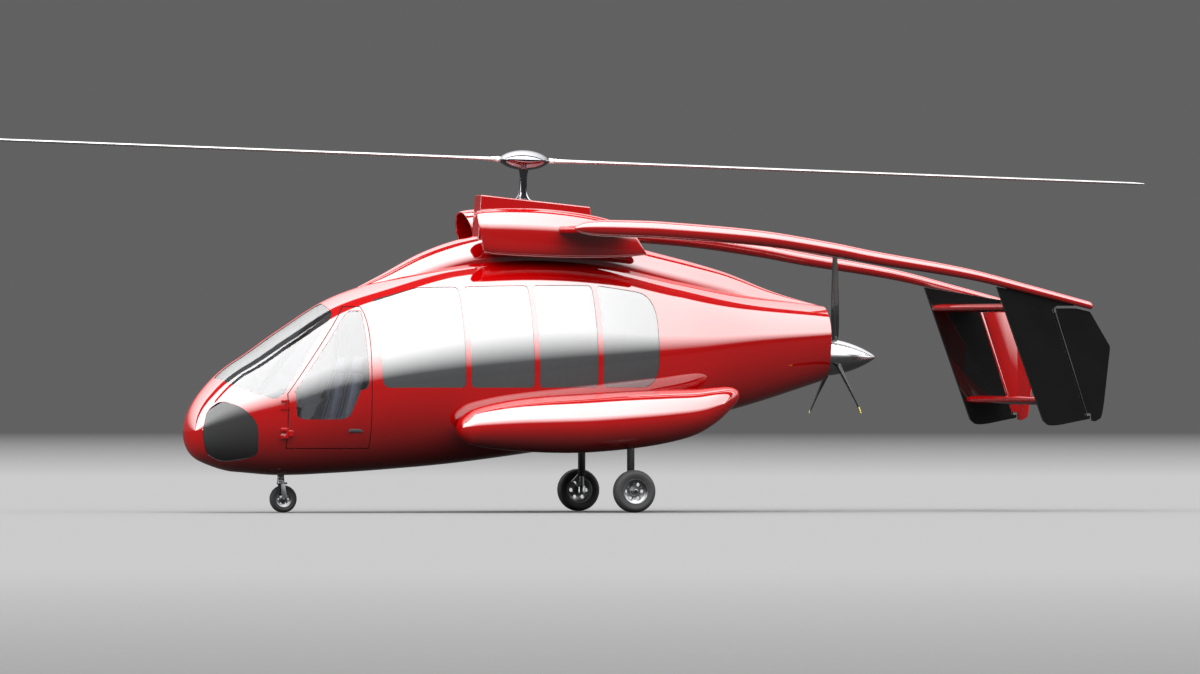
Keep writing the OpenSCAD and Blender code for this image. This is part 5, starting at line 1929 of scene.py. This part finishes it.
@dataclass
class Seats:
    """Crew and passenger seats with stuffed pads, shells and belts. Places are x, y and floor height."""

    crew: Triples = ((-2.42, -0.38, 0.72), (-2.42, 0.38, 0.72))
    cabin: Triples = (
        (-1.25, -0.47, 1.01), (-1.25, 0.0, 1.01), (-1.25, 0.47, 1.01), (-0.3, -0.47, 1.01),
        (-0.3, 0.0, 1.01), (-0.3, 0.47, 1.01), (0.62, -0.24, 1.01), (0.62, 0.24, 1.01))
    width: float = 0.5
    cabin_width: float = 0.44
    lean: float = 12.0
    back_at: Triple = (0.09, 0.0, 0.3)
    strap_w: float = 0.045
    strap_t: float = 0.0025
    strap_rows: tuple[Pair, ...] = (
        (0.085, 0.64), (0.03, 0.648), (-0.012, 0.62), (-0.024, 0.5), (-0.026, 0.3), (-0.03, 0.14),
        (-0.05, 0.075))

    def build(self) -> None:
        """Builds one seat and sets out its copies."""
        tilt = Matrix.Translation(self.back_at) @ Matrix.Rotation(math.radians(self.lean), 4, "Y")
        half = self.width / 2
        cushion = Pad("seat_cushion", (-0.26, -half, 0.2), (0.24, half, 0.325), (-0.56, 0.56), (0.3, 0.55),
                      False).build()
        back = Pad("seat_back", (0.0, -half, 0.0), (0.11, half, 0.635), (-0.56, 0.56),
                   (0.25, 0.45, 0.65, 0.85), True).build()
        rest = Pad("seat_headrest", (0.02, -half / 2, 0.655), (0.1, half / 2, 0.83), (), (), True).build()
        for part in (back, rest):
            part.data.transform(tilt)
        pads = join([cushion, back, rest], "seat_pads")
        frame_parts = [block("seat_base", (-0.18, -half + 0.06, 0.03), (0.2, half - 0.06, 0.205), 0.015),
                       block("seat_shell", (0.1, -half + 0.012, 0.02), (0.122, half - 0.012, 0.63), 0.01)]
        frame_parts[1].data.transform(tilt)
        for side in Side:
            y = side.value * (half - 0.1)
            frame_parts.append(block("seat_rail", (-0.2, y - 0.018, 0.0), (0.22, y + 0.018, 0.032), 0.004))
            post_y = side.value * 0.06
            post = bar("headrest_post", (0.062, post_y, 0.6), (0.062, post_y, 0.7), 0.007, 16)
            post.data.transform(tilt)
            frame_parts.append(post)
        shell = shade(join(frame_parts, "seat_frame"), 35)
        belts = self.belts(tilt)
        for name, places, width, node in (("crew", self.crew, self.width, "pilot_seats"),
                                          ("cabin", self.cabin, self.cabin_width, "passenger_seats")):
            set_pads = self.copies(pads, f"{name}_seat_pads", places, width)
            deliver(set_pads, AIRFRAME, LEATHER, [node])
            deliver(self.copies(shell, f"{name}_seat_frames", places, width), AIRFRAME, PANEL_BLACK)
            deliver(self.copies(belts, f"{name}_seat_belts", places, width), AIRFRAME, WEBBING)
        for part in (pads, shell, belts):
            bpy.data.objects.remove(part)

    def copies(self, part: Piece, name: str, places: Sequence[Triple], width: float) -> Piece:
        """Copies a part to each place, fitted to a seat width.

        Args:
            part: the part.
            name: name of the new object.
            places: places of the seats.
            width: seat width.
        Returns:
            The copies as one object.
        """
        made = []
        for k, place in enumerate(places):
            copy = twin(part, f"{name}_{k}")
            fit = Matrix.Diagonal((1.0, width / self.width, 1.0, 1.0))
            copy.data.transform(Matrix.Translation(place) @ fit)
            made.append(copy)
        return join(made, name)

    def belts(self, tilt: Matrix) -> Piece:
        """Makes two shoulder straps down a seat's back and a lap strap with a buckle.

        Args:
            tilt: turn of the seat's back.
        Returns:
            The belts as one object.
        """
        xs, zs = zip(*self.strap_rows)
        strap_y, gather = 0.085, 0.45
        lap_x, bow, lap_share, lap_z, drop = 0.02, 0.06, 0.49, 0.358, 0.07
        marks = range(len(xs))
        parts = []
        for side in Side:

            def shape(u: Array, v: Array, y: float = side.value * strap_y) -> Array:
                """Returns the points of a shoulder strap."""
                at = u * (len(xs) - 1)
                across = y * (1 - gather * u ** 3) + (v - 0.5) * self.strap_w
                return np.stack([np.interp(at, marks, xs), across, np.interp(at, marks, zs)], 1)

            strap = sheet("belt_strap", (36, 2), shape)
            modify(strap, "SOLIDIFY", thickness=self.strap_t, offset=0.0)
            strap.data.transform(tilt)
            parts.append(strap)

        def lap(u: Array, v: Array) -> Array:
            """Returns the points of the lap strap."""
            across = (u - 0.5) * 2
            x = lap_x - bow * (1 - across ** 2) + (v - 0.5) * self.strap_w
            z = lap_z - drop * np.abs(across) ** 6
            return np.stack([x, across * self.width * lap_share, z], 1)

        strap = sheet("lap_strap", (36, 2), lap)
        modify(strap, "SOLIDIFY", thickness=self.strap_t, offset=0.0)
        buckle = block("belt_buckle", (-0.075, -0.035, 0.354), (-0.005, 0.035, 0.37), 0.005)
        return shade(join([*parts, strap, buckle], "seat_belts"), 35)


@dataclass
class Cockpit:
    """Instrument panel with its hood, blank displays, pedestal, sticks and pedals."""

    floor: float = 0.72

    def build(self) -> None:
        """Builds the panel and the controls."""
        hood = prism("panel_hood",
                     [(-3.33, -0.43, 1.3), (-3.08, -0.43, 1.12), (-3.052, -0.43, 1.12),
                      (-3.052, -0.43, 1.345), (-3.075, -0.43, 1.36), (-3.33, -0.43, 1.328)], (0, 1, 0),
                     (-0.03, 0.89), 0.012)
        pedestal = block("panel_pedestal", (-3.2, -0.13, self.floor),
                         (-2.78, 0.13, self.floor + 0.255), 0.02)
        column = block("panel_column", (-3.2, -0.13, self.floor), (-3.1, 0.13, self.floor + 0.48), 0.012)
        body = shade(join([hood, pedestal, column], "instrument_hood"), 35)
        deliver(body, AIRFRAME, PANEL_BLACK, ["instrument_panel"])
        screens = [block("display", (-3.053, y - 0.125, 1.165), (-3.046, y + 0.125, 1.325), 0.004)
                   for y in (-0.3, 0.0, 0.3)]
        screens.append(block("display", (-3.0, -0.09, self.floor + 0.252),
                             (-2.84, 0.09, self.floor + 0.259), 0.003))
        deliver(shade(join(screens, "blank_displays"), 35), AIRFRAME, SCREEN)
        controls = []
        for y in (-0.38, 0.38):
            controls += [self.stick(y), *self.pedals(y)]
        lever = bar("power_lever", (-2.83, 0.0, self.floor + 0.25),
                    (-2.81, 0.0, self.floor + 0.36), 0.008, 16)
        knob = bar("lever_knob", (-2.812, -0.03, self.floor + 0.36), (-2.812, 0.03, self.floor + 0.36),
                   0.016, 24, 0.006)
        deliver(shade(join([*controls, lever, knob], "crew_controls"), 40), AIRFRAME, PANEL_BLACK)

    def stick(self, y: float) -> Piece:
        """Makes a control stick with a boot and a grip.

        Args:
            y: its distance from the middle.
        Returns:
            The stick.
        """
        x = -2.86
        boot = lathe("stick_boot",
                     [(0.0, 0.0), (0.06, 0.0), (0.055, 0.015), (0.035, 0.035), (0.03, 0.06), (0.014, 0.085),
                      (0.0, 0.09)], (x, y, self.floor), (0, 0, 1), 32)
        rod = bar("stick_rod", (x, y, self.floor + 0.05), (x + 0.03, y, self.floor + 0.4), 0.011, 20)
        grip = lathe("stick_grip",
                     [(0.0, 0.0), (0.016, 0.0), (0.02, 0.02), (0.017, 0.05), (0.021, 0.09), (0.024, 0.12),
                      (0.015, 0.14), (0.0, 0.143)], (x + 0.029, y, self.floor + 0.38), (0.09, 0, 1), 24)
        return join([boot, rod, grip], "control_stick")

    def pedals(self, y: float) -> list[Piece]:
        """Makes a pair of pedals on their arms.

        Args:
            y: distance of their middle from the body's.
        Returns:
            The parts.
        """
        made = []
        for side in Side:
            at = y + side.value * 0.085
            plate = block("pedal_plate", (-0.006, at - 0.04, -0.06), (0.006, at + 0.04, 0.06), 0.005)
            lean = Matrix.Rotation(math.radians(-25), 4, "Y")
            plate.data.transform(Matrix.Translation((-3.06, 0, self.floor + 0.15)) @ lean)
            made += [plate,
                     bar("pedal_arm", (-3.06, at, self.floor + 0.15), (-3.09, at, self.floor), 0.008, 16)]
        return made


def dress_rest() -> None:
    """Gives a finish to the construction nodes that stay in view."""
    finishes = {"cabin_floor": CARPET, "bulkheads": LINING, "battery": BATTERY_CASE, "motor": BARE_METAL,
                "hinge_pins": RED_PAINT, "door_left_hinges": RED_PAINT, "door_right_hinges": RED_PAINT}
    for node, finish in finishes.items():
        dress(bpy.data.objects[node], finish)
        log.info("%s: construction node in %s", node, finish.name)


# Studio


@dataclass
class Studio:
    """Camera at the photo's angle, pale floor and soft light from large panels."""

    target: Triple = (0.8637, -0.2316, 2.0588)
    back: Triple = (-0.2588, -0.9659, 0.0)
    distance: float = 235.29
    lens: float = 600.0
    sensor: float = 36.0
    clip_end: float = 1000.0
    floor_r: float = 200.0
    floor_at: Triple = (0.8, 0.0, -0.001)
    fade_span: Pair = (0.3, 0.98)
    backdrop: float = 0.12
    floor_tone: float = 0.16
    # Floor grey for reflected and bounced rays, darker than the grey in view: a painted shade.
    mirror_tone: float = 0.02
    panel_light: float = 6.0
    dim_rear: float = 0.6
    dim_span: Pair = (0.05, 0.75)
    ramp: tuple[Pair, ...] = (
        (0.0, 0.01), (10.0, 0.015), (36.0, 1.0), (100.0, 1.0), (102.0, 0.015), (113.0, 0.015),
        (115.0, 0.7), (145.0, 0.4), (168.0, 0.03), (180.0, 0.02))

    def build(self) -> None:
        """Builds the camera, the floor and the light."""
        scene = bpy.context.scene
        scene.view_settings.view_transform = "Standard"
        self.camera()
        self.floor()
        self.world()

    def camera(self) -> None:
        """Sets up the camera."""
        data = bpy.data.cameras.new("photo_camera")
        data.lens, data.sensor_width, data.clip_end = self.lens, self.sensor, self.clip_end
        camera = bpy.data.objects.new("photo_camera", data)
        bpy.context.scene.collection.objects.link(camera)
        back = Vector(self.back).normalized()
        camera.matrix_world = Matrix.Translation(Vector(self.target) + back * self.distance) @ toward(back)
        bpy.context.scene.camera = camera

    def floor(self) -> None:
        """Lays the floor, which fades out toward its edge and is darker in reflections than in view:
        painted shade in the aircraft's reflections and bounce light.
        """
        deselect()
        bpy.ops.mesh.primitive_circle_add(vertices=96, radius=self.floor_r, fill_type="NGON",
                                          location=self.floor_at)
        ground = settle(bpy.context.object)
        ground.name = "studio_floor"
        material = bpy.data.materials.new("studio_floor")
        material.use_nodes = True
        tree = material.node_tree
        shader = tree.nodes["Principled BSDF"]
        # All rays but camera rays see the darker grey: painted shade in what the aircraft reflects and in
        # the light bounced onto it.
        path, tone = tree.nodes.new("ShaderNodeLightPath"), tree.nodes.new("ShaderNodeMix")
        tone.data_type = "RGBA"
        set_inputs(tone, {"A": grey(self.mirror_tone), "B": grey(self.floor_tone)})
        tree.links.new(path.outputs["Is Camera Ray"], tone.inputs["Factor"])
        tree.links.new(tone.outputs["Result"], shader.inputs["Base Color"])
        set_inputs(shader, {"Roughness": 1.0, "Specular IOR Level": 0.0})
        place, length, fade = (tree.nodes.new(kind) for kind in (
            "ShaderNodeTexCoord", "ShaderNodeVectorMath", "ShaderNodeMapRange"))
        length.operation = "LENGTH"
        start, end = (self.floor_r * share for share in self.fade_span)
        set_inputs(fade, {"From Min": start, "From Max": end, "To Min": 1.0, "To Max": 0.0})
        tree.links.new(place.outputs["Object"], length.inputs[0])
        tree.links.new(length.outputs["Value"], fade.inputs["Value"])
        tree.links.new(fade.outputs["Result"], shader.inputs["Alpha"])
        ground.data.materials.append(material)

    def world(self) -> None:
        """Sets up the light panels by the angle over the aircraft, from the near side to the far side."""
        world = bpy.data.worlds.new("studio_light")
        bpy.context.scene.world = world
        world.use_nodes = True
        tree = world.node_tree
        tree.nodes.clear()
        new, link = tree.nodes.new, tree.links.new
        place, turn = new("ShaderNodeTexCoord"), new("ShaderNodeVectorMath")
        turn.operation = "DOT_PRODUCT"
        turn.inputs[1].default_value = tuple(Vector(self.back).normalized())
        split, angle = new("ShaderNodeSeparateXYZ"), new("ShaderNodeMath")
        angle.operation = "ARCTAN2"
        share, ramp = new("ShaderNodeMath"), new("ShaderNodeValToRGB")
        share.operation = "DIVIDE"
        share.inputs[1].default_value = math.pi
        link(place.outputs["Generated"], turn.inputs[0])
        link(place.outputs["Generated"], split.inputs[0])
        link(split.outputs["Z"], angle.inputs[0])
        link(turn.outputs["Value"], angle.inputs[1])
        link(angle.outputs["Value"], share.inputs[0])
        link(share.outputs["Value"], ramp.inputs["Fac"])
        band = ramp.color_ramp
        while len(band.elements) < len(self.ramp):
            band.elements.new(1.0)
        for element, (degrees, value) in zip(band.elements, self.ramp):
            element.position = degrees / 180
            element.color = grey(value)
        panels, plain, mix, out = (new(kind) for kind in (
            "ShaderNodeBackground", "ShaderNodeBackground", "ShaderNodeMixShader", "ShaderNodeOutputWorld"))
        rear = new("ShaderNodeMapRange")
        rear.interpolation_type = "SMOOTHSTEP"
        set_inputs(rear, {"From Min": self.dim_span[0], "From Max": self.dim_span[1],
                          "To Min": self.panel_light, "To Max": self.panel_light * self.dim_rear})
        link(split.outputs["X"], rear.inputs["Value"])
        link(rear.outputs["Result"], panels.inputs["Strength"])
        plain.inputs["Color"].default_value = (self.backdrop, self.backdrop, self.backdrop * 1.02, 1.0)
        path, seen = new("ShaderNodeLightPath"), new("ShaderNodeMath")
        seen.operation = "MAXIMUM"
        link(path.outputs["Is Camera Ray"], seen.inputs[0])
        link(path.outputs["Is Transmission Ray"], seen.inputs[1])
        link(ramp.outputs["Color"], panels.inputs["Color"])
        link(seen.outputs["Value"], mix.inputs["Fac"])
        link(panels.outputs["Background"], mix.inputs[1])
        link(plain.outputs["Background"], mix.inputs[2])
        link(mix.outputs["Shader"], out.inputs["Surface"])


def main() -> None:
    """Builds the pieces in order and reports each one."""
    logging.basicConfig(level=logging.INFO, format="%(message)s")
    for piece in (BodyShell(), Glazing(), CrewDoors(), SpineFairing(), AirNacelles(), RotorPylon(),
                  RotorHead(), TailBooms(), TailUnit(), Propeller(), Sponsons(), LandingGear(), Seats(),
                  Cockpit()):
        log.info("Building %s", type(piece).__name__)
        piece.build()
    dress_rest()
    Studio().build()
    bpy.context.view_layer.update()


if __name__ == "__main__":
    main()
